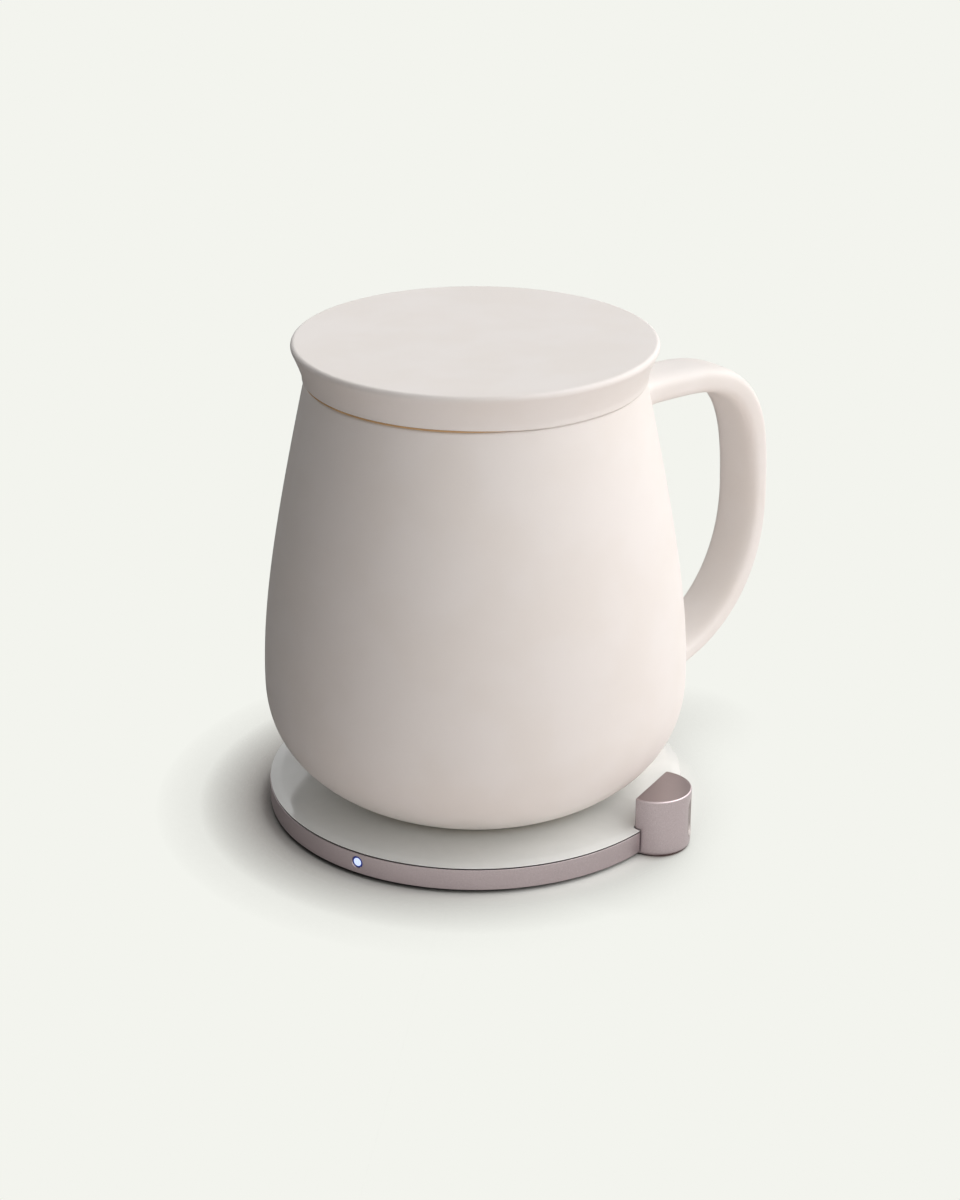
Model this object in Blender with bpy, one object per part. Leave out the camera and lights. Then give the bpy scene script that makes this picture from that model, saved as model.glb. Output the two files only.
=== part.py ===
"""Self heating mug: a glazed mug with a ceramic lid that stands on a flat wireless charging coaster.

Metres, +Z up. The origin is the middle of the coaster's foot pad, where it stands on the table, and
+X runs along the mug's handle. The mug lifts off the coaster and the lid lifts off the mug, both
straight up the Z axis.
"""

import math

import bmesh
import bpy

# Fits
REST_GAP = 0.0003  # under a piece that only stands on another
FIT_GAP = 0.0002  # between pieces that are glued, soldered or pressed together
CUT_GAP = 0.0003  # round a piece that stands in a cut-out
CUT_OVERRUN = 0.002  # how far a cutter runs past the wall that it cuts

# Roundness: flat sides on each turned piece
LARGE_SIDES = 48
SMALL_SIDES = 36
SCREW_SIDES = 12
LENS_SIDES = 24
EDGE_STEPS = 4

# Coaster ring and charging plate
COASTER_INSET = 0.00032  # how much narrower the coaster is than the mug's belly
RING_BOTTOM = 0.00098
RING_WALL = 0.0016
RING_LIP = 0.00035
RING_EDGE = 0.0002
PLATE_THICKNESS = 0.0012
COIL_AIR = 0.00065  # between the charging coil and the plate
PLATE_EDGE = 0.0004
LIP_DROP = 0.00025  # how far the ring's lip stays below the plate's top
ADHESIVE_THICKNESS = 0.0003
LEDGE_WIDTH = 0.0016
LEDGE_THICKNESS = 0.0009

# Coaster underside
PAD_THICKNESS = 0.0009
PAD_INSET = 0.0002  # from the base plate's edge
BASE_PLATE_THICKNESS = 0.001
BOSS_RADIUS = 0.002
BOSS_OVERLAP = 0.0002  # how far a boss reaches into the ring's wall
SCREW_HEAD_RADIUS = 0.0013
SCREW_HEAD_HEIGHT = 0.0007
SCREW_RADIUS = 0.0007
SCREW_LENGTH = 0.0025
SCREW_DRIVE_RADIUS = 0.0004
SCREW_DRIVE_DEPTH = 0.0004
SCREW_HOLE_GAP = 0.00015
BOSS_TURNS_DEG = (45.0, 135.0, 225.0, 315.0)  # from the pod

# Charging coil stack
TRAY_FLOOR = 0.0006
TRAY_WALL = 0.0008
FERRITE_THICKNESS = 0.0005
COIL_THICKNESS = 0.001
COIL_EDGE_ROOM = 0.0017  # between the coil and the tray's wall
COIL_INNER = 0.0085
COIL_SENSOR_RADIUS = 0.0012
COIL_SENSOR_HEIGHT = 0.0011

# Charger board, a sector of a ring that starts beside the pod
BOARD_WIDTH = 0.014
TRAY_ROOM = 0.002  # between the coil tray and the board
BOSS_ROOM = 0.0006  # between the board and the screw bosses
BOARD_THICKNESS = 0.0008
BOARD_START_DEG = -15.0
BOARD_END_DEG = -125.0
BOARD_ARC_STEPS = 18
CONTROLLER_SIDE = 0.005
CONTROLLER_HEIGHT = 0.0009
DRIVER_SIDE = 0.004
DRIVER_HEIGHT = 0.0008
INDUCTOR_SIDE = 0.006
INDUCTOR_HEIGHT = 0.0017
INDUCTOR_EDGE = 0.0003
CAPACITOR_LENGTH = 0.0032
CAPACITOR_WIDTH = 0.0025
CAPACITOR_HEIGHT = 0.0014
CAPACITOR_PITCH_DEG = 7.0
CAPACITOR_COUNT = 3
CONTROLLER_TURN_DEG = -58.0
DRIVER_TURN_DEG = -72.0
INDUCTOR_TURN_DEG = -42.0
CAPACITOR_TURN_DEG = -104.0
PIECE_EDGE = 0.0001

# Indicator light
INDICATOR_TURN_DEG = -92.5
LED_DEPTH = 0.0016
LED_WIDTH = 0.002
LED_HEIGHT = 0.0011
LENS_RADIUS = 0.0013
LENS_ROD_RADIUS = 0.0008
LENS_HOLE_GAP = 0.0003
LENS_HEAD = 0.0013
LENS_SET_BACK = 0.0001

# Pod with the power inlet, a round-nosed block on the coaster's edge
POD_TURN_DEG = -67.5
POD_BITE = 0.0024  # how far the pod's flat face is let into the coaster's edge
NOSE_SET = 0.0015  # from the flat face to the centre of the round nose
POD_BOTTOM = 0.00035
POD_WALL = 0.0012
POD_TOP_EDGE = 0.0011
POD_BOTTOM_EDGE = 0.0016
POD_ARC_STEPS = 26
HATCH_INSET = 0.0022
HATCH_THICKNESS = 0.0008
HATCH_RECESS = 0.0002
TAB_WIDTH = 0.012
TAB_REACH = 0.0086  # from the pod's flat face towards the coaster's middle
TAB_THICKNESS = 0.0012
TAB_SCREW_SPREAD = 0.0036
TAB_SCREW_INSET = 0.0025
TAB_SCREW_LENGTH = 0.0022
WINDOW_WIDTH = 0.0104
WINDOW_HEIGHT = 0.0014

# Power socket in the pod, a standard 24-pin receptacle on its end
SOCKET_TURN_DEG = 18.0
SOCKET_TALL = 0.00894
SOCKET_WIDE = 0.00326
SOCKET_WALL = 0.0003
SOCKET_BACK = 0.0004
SOCKET_DEPTH = 0.0064
SOCKET_RECESS = 0.0009  # from the pod's skin to the socket's mouth
SOCKET_BACK_ROOM = 0.0006  # from the nose's centre to the socket's back
SOCKET_END_ROOM = 0.00065  # between the socket board's ends and the pod's walls
SOCKET_HOLE_GAP = 0.0002
TONGUE_TALL = 0.0066
TONGUE_WIDE = 0.0007
TONGUE_LENGTH = 0.0046
POCKET_RIM = 0.0004
POCKET_DEPTH = 0.00045
SOCKET_BOARD_LENGTH = 0.0048
SOCKET_BOARD_TALL = 0.0098
SOCKET_BOARD_THICKNESS = 0.0008
SOCKET_ARC_STEPS = 8

# Flat flexible lead from the pod to the charger board
FLEX_THICKNESS = 0.0002
FLEX_WIDTH = 0.0022
FLEX_TURN_WIDTH = 0.003
FLEX_START = 0.0011  # past the pod's centre line, inside the pod
FLEX_SIDE = 0.00275  # from the pod's middle plane to the lead's edge
FLEX_REACH = 0.0046  # from the pod's flat face to the lead's turn
FLEX_END = 0.0135
CONNECTOR_LENGTH = 0.003
CONNECTOR_WIDTH = 0.002
CONNECTOR_HEIGHT = 0.0003

# Mug body
RIM_RADIUS = 0.03753
RIM_HEIGHT = 0.1031
BELLY_RADIUS = 0.04832
BELLY_HEIGHT = 0.0326
CLOSING_HEIGHT = 0.0015  # where the curve under the belly would meet the axis
BELLY_EXPONENT = 2.325
SHOULDER_EASE = 0.0344  # height over which the belly eases into the straight taper
MUG_WALL = 0.0036
MUG_FLOOR = 0.0036
CUP_EXPONENT = 3.2
RIM_EDGE = 0.0009
FOOT_EDGE = 0.0005
BELLY_STEPS = 8
TAPER_STEPS = 9
CUP_BELLY_STEPS = 6
CUP_TAPER_STEPS = 6
BELLY_CROWDING = 1.4  # how much closer together the points lie towards the belly

# Heating stack under the mug's floor
FOOT_WIDTH = 0.0032
STACK_ROOM = 0.0015  # between the well's wall and the board, felt and heater
FERRITE_ROOM = 0.0025
COIL_ROOM = 0.004
COVER_SET_BACK = 0.0003
COVER_THICKNESS = 0.001
SEAL_WIDTH = 0.0008
SEAL_HEIGHT = 0.0008
RECEIVER_COIL_INNER = 0.008
RECEIVER_COIL_THICKNESS = 0.0009
RECEIVER_FERRITE_THICKNESS = 0.0006
RECEIVER_BOARD_THICKNESS = 0.0007
FELT_WIDTH = 0.0095
FELT_THICKNESS = 0.0009
RECTIFIER_SIDE = 0.005
RECTIFIER_HEIGHT = 0.0008
RECTIFIER_OFFSET = 0.008
SENSOR_RADIUS = 0.0015
HEATER_THICKNESS = 0.0008

# Handle, a flat strap with rounded edges
HANDLE_WIDTH = 0.0139
HANDLE_THICKNESS = 0.005
HANDLE_EDGE = 0.0024
HANDLE_DROP = 0.0118  # from the rim down to the top strap's middle
HANDLE_BEND_SET = 0.00368  # from the belly's radius out to the upper bend's start
FINGER_ROOM = 0.03138  # from the belly's radius out to the strap's inner face
REACH_RISE = 0.0244  # from the belly's height up to where the strap is furthest out
FOOT_BEND_SET = 0.00232  # from the belly's radius in to the lower bend's end
HANDLE_FOOT_DROP = 0.0136  # from the belly's height down to the strap's foot
HANDLE_UPPER_EXPONENT = 3.3
HANDLE_LOWER_EXPONENT = 2.15
HANDLE_FLARE = 0.0016
HANDLE_FLARE_LENGTH = 0.007
HANDLE_ROOT = 0.003  # how far the strap is drawn into the body before it is trimmed
HANDLE_BEND_STEPS = 13
HANDLE_CORNER_STEPS = 3
FLARE_STEPS = 3

# Lid
LID_OVERHANG = 0.00057  # how far the lid's foot stands out past the rim
LID_FLARE = 0.00225
LID_HEIGHT = 0.0076
LID_TOP_EDGE = 0.001
LID_FOOT_EDGE = 0.0003
LID_FLARE_EXPONENT = 2.0
LID_FLARE_STEPS = 5
LID_THICKNESS = 0.004
PLUG_DEPTH = 0.0064
PLUG_WALL = 0.0027
PLUG_EDGE = 0.0006
SEAL_FLANGE = 0.0004
SEAL_SLEEVE = 0.0006
SEAL_RUNNING_GAP = 0.0004
SEAL_EDGE_INSET = 0.0006
SEAL_SLEEVE_DEPTH = 0.0049

# Finishes: sRGB colour, roughness, metallic
GLAZED_CERAMIC = ("#EDE6E1", 0.38, 0.0)
SATIN_METAL = ("#A29495", 0.42, 0.9)
WHITE_PLASTIC = ("#E4E6E1", 0.22, 0.0)
DARK_FOAM = ("#2B2727", 0.9, 0.0)
BLACK_SILICONE = ("#2A2626", 0.75, 0.0)
TAN_SILICONE = ("#A58C70", 0.6, 0.0)
DARK_PLASTIC = ("#35322F", 0.55, 0.0)
COPPER = ("#B8683E", 0.35, 1.0)
FERRITE = ("#3A3A3C", 0.7, 0.2)
GREEN_BOARD = ("#1F5B3A", 0.45, 0.0)
CHIP_PLASTIC = ("#1B1B1D", 0.5, 0.0)
CAPACITOR_CERAMIC = ("#8A6F4E", 0.5, 0.0)
LED_PLASTIC = ("#F2F1E8", 0.4, 0.0)
CLEAR_LENS = ("#C9D6FF", 0.15, 0.0)
BRIGHT_STEEL = ("#B9BBBE", 0.3, 1.0)
FLEX_FILM = ("#B07A2C", 0.4, 0.0)
ALUMINA = ("#D9D4C8", 0.6, 0.0)
SILICA_FELT = ("#E6E2D8", 0.95, 0.0)

# Heights and radii that follow from the sizes above
COASTER_RADIUS = BELLY_RADIUS - COASTER_INSET
PLATE_RADIUS = COASTER_RADIUS - RING_LIP - CUT_GAP
RING_BORE = COASTER_RADIUS - RING_WALL
BASE_PLATE_BOTTOM = PAD_THICKNESS + FIT_GAP
BASE_PLATE_TOP = BASE_PLATE_BOTTOM + BASE_PLATE_THICKNESS
BASE_PLATE_RADIUS = RING_BORE - CUT_GAP
BOSS_DISTANCE = RING_BORE + BOSS_OVERLAP - BOSS_RADIUS
INNER_DECK = BASE_PLATE_TOP + FIT_GAP
FERRITE_BOTTOM = INNER_DECK + TRAY_FLOOR + FIT_GAP
COIL_BOTTOM = FERRITE_BOTTOM + FERRITE_THICKNESS + FIT_GAP
PLATE_BOTTOM = COIL_BOTTOM + COIL_THICKNESS + COIL_AIR
PLATE_TOP = PLATE_BOTTOM + PLATE_THICKNESS
LEDGE_TOP = PLATE_BOTTOM - ADHESIVE_THICKNESS - 2 * FIT_GAP
LEDGE_BOTTOM = LEDGE_TOP - LEDGE_THICKNESS
BOARD_DECK = INNER_DECK + BOARD_THICKNESS + FIT_GAP
BOARD_OUTER = BOSS_DISTANCE - BOSS_RADIUS - BOSS_ROOM
BOARD_INNER = BOARD_OUTER - BOARD_WIDTH
TRAY_RADIUS = BOARD_INNER - TRAY_ROOM
COIL_OUTER = TRAY_RADIUS - TRAY_WALL - COIL_EDGE_ROOM
BOARD_MIDDLE = (BOARD_INNER + BOARD_OUTER) / 2
TAB_TOP = INNER_DECK + TAB_THICKNESS
WINDOW_BOTTOM = TAB_TOP + FIT_GAP
FLEX_BOTTOM = BOARD_DECK + CONNECTOR_HEIGHT + FIT_GAP
FLEX_CORNER = COASTER_RADIUS - POD_BITE - FLEX_REACH
POD_FACE = COASTER_RADIUS - POD_BITE
POD_CENTRE = POD_FACE + NOSE_SET
POD_RADIUS = SOCKET_BACK_ROOM + SOCKET_DEPTH + SOCKET_RECESS
POD_TOP = POD_BOTTOM + SOCKET_BOARD_TALL + 2 * (POD_WALL + SOCKET_END_ROOM)
POD_MIDDLE = (POD_TOP + POD_BOTTOM) / 2
SOCKET_MOUTH = POD_RADIUS - SOCKET_RECESS
MUG_BASE = PLATE_TOP + REST_GAP
COVER_BOTTOM = MUG_BASE + COVER_SET_BACK
COVER_TOP = COVER_BOTTOM + COVER_THICKNESS
RECEIVER_COIL_BOTTOM = COVER_TOP + FIT_GAP
RECEIVER_FERRITE_BOTTOM = RECEIVER_COIL_BOTTOM + RECEIVER_COIL_THICKNESS + FIT_GAP
RECEIVER_BOARD_BOTTOM = RECEIVER_FERRITE_BOTTOM + RECEIVER_FERRITE_THICKNESS + FIT_GAP
RECEIVER_DECK = RECEIVER_BOARD_BOTTOM + RECEIVER_BOARD_THICKNESS + FIT_GAP
HEATER_BOTTOM = RECEIVER_DECK + FELT_THICKNESS + FIT_GAP
WELL_TOP = HEATER_BOTTOM + HEATER_THICKNESS + FIT_GAP
CUP_FLOOR = WELL_TOP + MUG_FLOOR
CUP_MOUTH = RIM_RADIUS - MUG_WALL
HANDLE_TOP_HEIGHT = RIM_HEIGHT - HANDLE_DROP
HANDLE_BEND_START = BELLY_RADIUS + HANDLE_BEND_SET
HANDLE_REACH = BELLY_RADIUS + FINGER_ROOM + HANDLE_THICKNESS / 2
HANDLE_REACH_HEIGHT = BELLY_HEIGHT + REACH_RISE
HANDLE_FOOT_START = BELLY_RADIUS - FOOT_BEND_SET
HANDLE_FOOT_HEIGHT = BELLY_HEIGHT - HANDLE_FOOT_DROP
LID_FOOT_RADIUS = RIM_RADIUS + LID_OVERHANG
LID_TOP_RADIUS = LID_FOOT_RADIUS + LID_FLARE
LID_SEAT = RIM_HEIGHT + REST_GAP + SEAL_FLANGE + FIT_GAP
LID_TOP = LID_SEAT + LID_HEIGHT
SEAL_OUTER = CUP_MOUTH - SEAL_RUNNING_GAP
PLUG_RADIUS = SEAL_OUTER - SEAL_SLEEVE - FIT_GAP
PLUG_BOTTOM = LID_SEAT - PLUG_DEPTH


def body_radius(height):
    """The mug's outer radius: a superellipse below the belly, and above it a hyperbola that
    eases from the belly into an even taper towards the rim."""
    if height <= BELLY_HEIGHT:
        share = (BELLY_HEIGHT - height) / (BELLY_HEIGHT - CLOSING_HEIGHT)
        return BELLY_RADIUS * (1 - share**BELLY_EXPONENT) ** (1 / BELLY_EXPONENT)
    run = math.hypot(RIM_HEIGHT - BELLY_HEIGHT, SHOULDER_EASE) - SHOULDER_EASE
    taper = (BELLY_RADIUS - RIM_RADIUS) / run
    return BELLY_RADIUS - taper * (math.hypot(height - BELLY_HEIGHT, SHOULDER_EASE) - SHOULDER_EASE)


WELL_RADIUS = body_radius(MUG_BASE) - FOOT_WIDTH
STACK_RADIUS = WELL_RADIUS - STACK_ROOM


def linear_colour(code):
    """The linear RGBA of a hexadecimal sRGB code."""
    channels = [int(code[i : i + 2], 16) / 255 for i in (1, 3, 5)]
    curve = [c / 12.92 if c <= 0.04045 else ((c + 0.055) / 1.055) ** 2.4 for c in channels]
    return (*curve, 1.0)


def material(name, finish):
    """A Principled material for one piece."""
    code, roughness, metallic = finish
    made = bpy.data.materials.new(name)
    made.use_nodes = True
    shader = made.node_tree.nodes["Principled BSDF"]
    shader.inputs["Base Color"].default_value = linear_colour(code)
    shader.inputs["Roughness"].default_value = roughness
    shader.inputs["Metallic"].default_value = metallic
    made.diffuse_color = linear_colour(code)
    return made


def frame_empty(name, height, parent=None):
    """An empty on the Z axis that carries one body."""
    empty = bpy.data.objects.new(name, None)
    bpy.context.scene.collection.objects.link(empty)
    empty.location = (0, 0, height)
    if parent:
        empty.parent = parent
        empty.location.z -= parent.location.z
    return empty


def place(piece, parent):
    """Parents a piece that was modelled at its world place."""
    piece.parent = parent
    offset = 0
    while parent:
        offset += parent.location.z
        parent = parent.parent
    piece.location.z -= offset


def mesh_object(name, shape, finish, parent):
    """Turns a bmesh into a smooth-shaded object with its own material."""
    bmesh.ops.recalc_face_normals(shape, faces=shape.faces)
    mesh = bpy.data.meshes.new(name)
    shape.to_mesh(mesh)
    shape.free()
    mesh.shade_smooth()
    mesh.set_sharp_from_angle(angle=math.radians(35))
    piece = bpy.data.objects.new(name, mesh)
    bpy.context.scene.collection.objects.link(piece)
    if finish:
        mesh.materials.append(material(name, finish))
        place(piece, parent)
    else:
        piece.hide_render = True
        piece.display_type = "WIRE"
    return piece


def turned(name, profile, finish=None, parent=None, sides=LARGE_SIDES, closed=False, centre=(0, 0)):
    """A solid of revolution about a vertical axis through centre, from (radius, height) points."""
    shape = bmesh.new()
    points = [shape.verts.new((radius, 0, height)) for radius, height in profile]
    if closed:
        points.append(points[0])
    edges = [shape.edges.new(pair) for pair in zip(points[:-1], points[1:])]
    bmesh.ops.spin(
        shape, geom=list(shape.verts) + edges, axis=(0, 0, 1), cent=(0, 0, 0),
        angle=math.tau, steps=sides, use_merge=True,
    )
    bmesh.ops.remove_doubles(shape, verts=shape.verts, dist=1e-7)
    bmesh.ops.dissolve_degenerate(shape, edges=shape.edges, dist=1e-7)
    bmesh.ops.translate(shape, verts=shape.verts, vec=(*centre, 0))
    return mesh_object(name, shape, finish, parent)


def prism(name, outline, bottom, top, finish=None, parent=None):
    """A flat outline of (x, y) points, drawn up from one height to another."""
    shape = bmesh.new()
    face = shape.faces.new([shape.verts.new((x, y, bottom)) for x, y in outline])
    grown = bmesh.ops.extrude_face_region(shape, geom=[face])["geom"]
    raised = [item for item in grown if isinstance(item, bmesh.types.BMVert)]
    bmesh.ops.translate(shape, verts=raised, vec=(0, 0, top - bottom))
    return mesh_object(name, shape, finish, parent)


def lofted(name, loops, finish=None, parent=None):
    """A solid through closed loops of equally many points, capped at both ends."""
    shape = bmesh.new()
    rows = [[shape.verts.new(point) for point in loop] for loop in loops]
    for low, high in zip(rows[:-1], rows[1:]):
        for i in range(len(low)):
            j = (i + 1) % len(low)
            shape.faces.new((low[i], low[j], high[j], high[i]))
    shape.faces.new(rows[0])
    shape.faces.new(rows[-1])
    return mesh_object(name, shape, finish, parent)


def disc(name, inner, outer, bottom, thickness, finish, parent, sides=SMALL_SIDES):
    """A flat disc, or a washer when inner is above zero."""
    top = bottom + thickness
    profile = [(inner, bottom), (outer, bottom), (outer, top), (inner, top)]
    return turned(name, profile, finish, parent, sides, inner > 0)


def cut(piece, cutter, operation="DIFFERENCE"):
    """Adds an exact Boolean to a piece."""
    boolean = piece.modifiers.new(cutter.name, "BOOLEAN")
    boolean.operation = operation
    boolean.solver = "EXACT"
    boolean.object = cutter


def soften(piece, width):
    """A small bevel along a box-like piece's edges."""
    bevel = piece.modifiers.new("edge", "BEVEL")
    bevel.width = width
    bevel.segments = 1
    bevel.limit_method = "ANGLE"


def turned_about(distance, side, turn):
    """The (x, y) of a point given along and across a direction that is turned from +X."""
    cosine, sine = math.cos(turn), math.sin(turn)
    return distance * cosine - side * sine, distance * sine + side * cosine


def rounded_edge(radius, height, size, inward, upward, steps=EDGE_STEPS):
    """Points round an edge whose sharp corner is at (radius, height), from its side to its end face."""
    points = []
    for i in range(steps + 1):
        angle = math.pi / 2 * i / steps
        across = size * (1 - math.cos(angle))
        along = size * (1 - math.sin(angle))
        points.append((radius - inward * across, height - upward * along))
    return points


def box_outline(length, width, distance, side, turn):
    """The corners of a rectangle centred along and across a turned direction."""
    corners = ((-1, -1), (1, -1), (1, 1), (-1, 1))
    return [
        turned_about(distance + a * length / 2, side + b * width / 2, turn) for a, b in corners
    ]


POD_TURN = math.radians(POD_TURN_DEG)
SOCKET_TURN = POD_TURN + math.radians(SOCKET_TURN_DEG)
INDICATOR_TURN = POD_TURN + math.radians(INDICATOR_TURN_DEG)


def pod_outline(inset, height):
    """The pod's outline moved inwards: an arc closed by the flat face that looks at the mug."""
    radius, face = POD_RADIUS - inset, POD_FACE + inset
    half = math.acos((face - POD_CENTRE) / radius)
    points = []
    for i in range(POD_ARC_STEPS + 1):
        angle = -half + 2 * half * i / POD_ARC_STEPS
        distance, side = POD_CENTRE + radius * math.cos(angle), radius * math.sin(angle)
        points.append((*turned_about(distance, side, POD_TURN), height))
    return points


def pod_prism(name, inset, bottom, top, finish=None, parent=None):
    """A straight block of the pod's outline."""
    return lofted(name, [pod_outline(inset, bottom), pod_outline(inset, top)], finish, parent)


def screw_profile(base, length, grow=0.0):
    """A countersunk screw that points up, with its head's face at base. A grown one cuts its hole."""
    head, shank = SCREW_HEAD_RADIUS + grow, SCREW_RADIUS + grow
    start = base - (CUT_OVERRUN if grow else 0.0)
    outside = [(head, start), (head, base), (shank, base + SCREW_HEAD_HEIGHT)]
    outside += [(shank, base + length + grow), (0, base + length + grow)]
    if grow:
        return [(0, start)] + outside
    drive = base + SCREW_DRIVE_DEPTH
    return [(0, drive), (SCREW_DRIVE_RADIUS, drive), (SCREW_DRIVE_RADIUS, base)] + outside[1:]


def screw(name, distance, side, length, parent, holed):
    """One screw at a place given from the pod's direction, and the hole that it needs in each piece."""
    centre = turned_about(distance, side, POD_TURN)
    turned(name, screw_profile(BASE_PLATE_BOTTOM, length), BRIGHT_STEEL, parent, SCREW_SIDES, centre=centre)
    hole_profile = screw_profile(BASE_PLATE_BOTTOM, length, SCREW_HOLE_GAP)
    hole = turned(name + "_hole", hole_profile, sides=SCREW_SIDES, centre=centre)
    for piece in holed:
        cut(piece, hole)


def make_ring(parent):
    """The satin metal ring: a wall, a ledge for the plate, four screw bosses and its cut-outs."""
    lip_top, rebate = PLATE_TOP - LIP_DROP, PLATE_RADIUS + CUT_GAP
    profile = [
        (RING_BORE, RING_BOTTOM),
        (COASTER_RADIUS - RING_EDGE, RING_BOTTOM),
        (COASTER_RADIUS, RING_BOTTOM + RING_EDGE),
        (COASTER_RADIUS, lip_top - RING_EDGE),
        (rebate, lip_top),
        (rebate, LEDGE_TOP),
        (RING_BORE - LEDGE_WIDTH, LEDGE_TOP),
        (RING_BORE - LEDGE_WIDTH, LEDGE_BOTTOM),
        (RING_BORE, LEDGE_BOTTOM),
    ]
    ring = turned("coaster_ring", profile, SATIN_METAL, parent, closed=True)
    boss_top = (LEDGE_TOP + LEDGE_BOTTOM) / 2
    for i, turn in enumerate(BOSS_TURNS_DEG):
        centre = turned_about(BOSS_DISTANCE, 0, POD_TURN + math.radians(turn))
        profile = [(0, INNER_DECK), (BOSS_RADIUS, INNER_DECK), (BOSS_RADIUS, boss_top), (0, boss_top)]
        boss = turned(f"ring_boss_{i + 1}", profile, sides=SMALL_SIDES // 2, centre=centre)
        cut(ring, boss, "UNION")
    cut(ring, pod_prism("ring_pod_cut", -CUT_GAP, -CUT_OVERRUN, POD_TOP))
    gate = box_outline(
        2 * (COASTER_RADIUS - BOARD_OUTER), TAB_WIDTH + 2 * CUT_GAP, POD_FACE, 0, POD_TURN
    )
    cut(ring, prism("ring_gate_cut", gate, -CUT_OVERRUN, POD_TOP))
    return ring


def make_plate(parent):
    """The white charging plate, let into the ring and cut round the pod."""
    profile = [(0, PLATE_BOTTOM), (PLATE_RADIUS, PLATE_BOTTOM)]
    profile += rounded_edge(PLATE_RADIUS, PLATE_TOP, PLATE_EDGE, 1, 1)
    profile.append((0, PLATE_TOP))
    plate = turned("charging_plate", profile, WHITE_PLASTIC, parent)
    cut(plate, pod_prism("plate_pod_cut", -CUT_GAP, -CUT_OVERRUN, POD_TOP))


def make_adhesive(parent):
    """The foam adhesive ring that holds the plate on the ring's ledge."""
    ring = disc(
        "plate_adhesive", RING_BORE - LEDGE_WIDTH, RING_BORE - FIT_GAP,
        LEDGE_TOP + FIT_GAP, ADHESIVE_THICKNESS, DARK_FOAM, parent, LARGE_SIDES,
    )
    cut(ring, pod_prism("adhesive_pod_cut", -CUT_GAP, -CUT_OVERRUN, POD_TOP))


def make_underside(parent):
    """The foot pad and the base plate, which the pod's flat face trims."""
    pad = disc(
        "foot_pad", 0, BASE_PLATE_RADIUS - PAD_INSET, 0, PAD_THICKNESS, BLACK_SILICONE, parent,
        LARGE_SIDES,
    )
    base = disc(
        "base_plate", 0, BASE_PLATE_RADIUS, BASE_PLATE_BOTTOM, BASE_PLATE_THICKNESS, DARK_PLASTIC,
        parent, LARGE_SIDES,
    )
    cutter = pod_prism("base_pod_cut", -CUT_GAP, -CUT_OVERRUN, POD_TOP)
    cut(pad, cutter)
    cut(base, cutter)
    return base


def make_coil_stack(parent):
    """The tray, ferrite sheet, charging coil and its temperature sensor, in the coaster's middle."""
    rim = COIL_BOTTOM + COIL_THICKNESS
    bore = TRAY_RADIUS - TRAY_WALL
    profile = [(0, INNER_DECK), (TRAY_RADIUS, INNER_DECK), (TRAY_RADIUS, rim), (bore, rim)]
    profile += [(bore, INNER_DECK + TRAY_FLOOR), (0, INNER_DECK + TRAY_FLOOR)]
    turned("coil_tray", profile, DARK_PLASTIC, parent, SMALL_SIDES)
    sheet = bore - FIT_GAP
    disc("coil_ferrite", 0, sheet, FERRITE_BOTTOM, FERRITE_THICKNESS, FERRITE, parent)
    disc("charging_coil", COIL_INNER, COIL_OUTER, COIL_BOTTOM, COIL_THICKNESS, COPPER, parent)
    disc(
        "coil_sensor", 0, COIL_SENSOR_RADIUS, COIL_BOTTOM, COIL_SENSOR_HEIGHT, CHIP_PLASTIC, parent,
        SCREW_SIDES,
    )


def make_board(parent):
    """The charger's circuit board, a ring sector beside the coil."""
    outline = []
    for radius, backwards in ((BOARD_OUTER, False), (BOARD_INNER, True)):
        steps = range(BOARD_ARC_STEPS + 1)
        for i in reversed(steps) if backwards else steps:
            share = i / BOARD_ARC_STEPS
            turn = BOARD_START_DEG + (BOARD_END_DEG - BOARD_START_DEG) * share
            outline.append(turned_about(radius, 0, POD_TURN + math.radians(turn)))
    prism("charger_board", outline, INNER_DECK, INNER_DECK + BOARD_THICKNESS, GREEN_BOARD, parent)


def on_board(name, length, width, height, turn_deg, finish, parent, edge=PIECE_EDGE):
    """A component on the charger board's middle line."""
    turn = POD_TURN + math.radians(turn_deg)
    outline = box_outline(length, width, BOARD_MIDDLE, 0, turn)
    piece = prism(name, outline, BOARD_DECK, BOARD_DECK + height, finish, parent)
    soften(piece, edge)


def make_components(parent):
    """The chips, the inductor and the capacitors that drive the charging coil."""
    on_board(
        "controller_chip", CONTROLLER_SIDE, CONTROLLER_SIDE, CONTROLLER_HEIGHT,
        CONTROLLER_TURN_DEG, CHIP_PLASTIC, parent,
    )
    on_board(
        "driver_chip", DRIVER_SIDE, DRIVER_SIDE, DRIVER_HEIGHT, DRIVER_TURN_DEG, CHIP_PLASTIC, parent
    )
    on_board(
        "power_inductor", INDUCTOR_SIDE, INDUCTOR_SIDE, INDUCTOR_HEIGHT,
        INDUCTOR_TURN_DEG, FERRITE, parent, INDUCTOR_EDGE,
    )
    for i in range(CAPACITOR_COUNT):
        on_board(
            f"tuning_capacitor_{i + 1}", CAPACITOR_LENGTH, CAPACITOR_WIDTH, CAPACITOR_HEIGHT,
            CAPACITOR_TURN_DEG - CAPACITOR_PITCH_DEG * i, CAPACITOR_CERAMIC, parent,
        )


def stepped_profile(start, neck, end, grow):
    """The lens's rod and wider head, or with grow the hole that they stand in."""
    rod, head = LENS_ROD_RADIUS + grow, LENS_RADIUS + grow
    return [(0, start), (rod, start), (rod, neck), (head, neck), (head, end), (0, end)]


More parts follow.
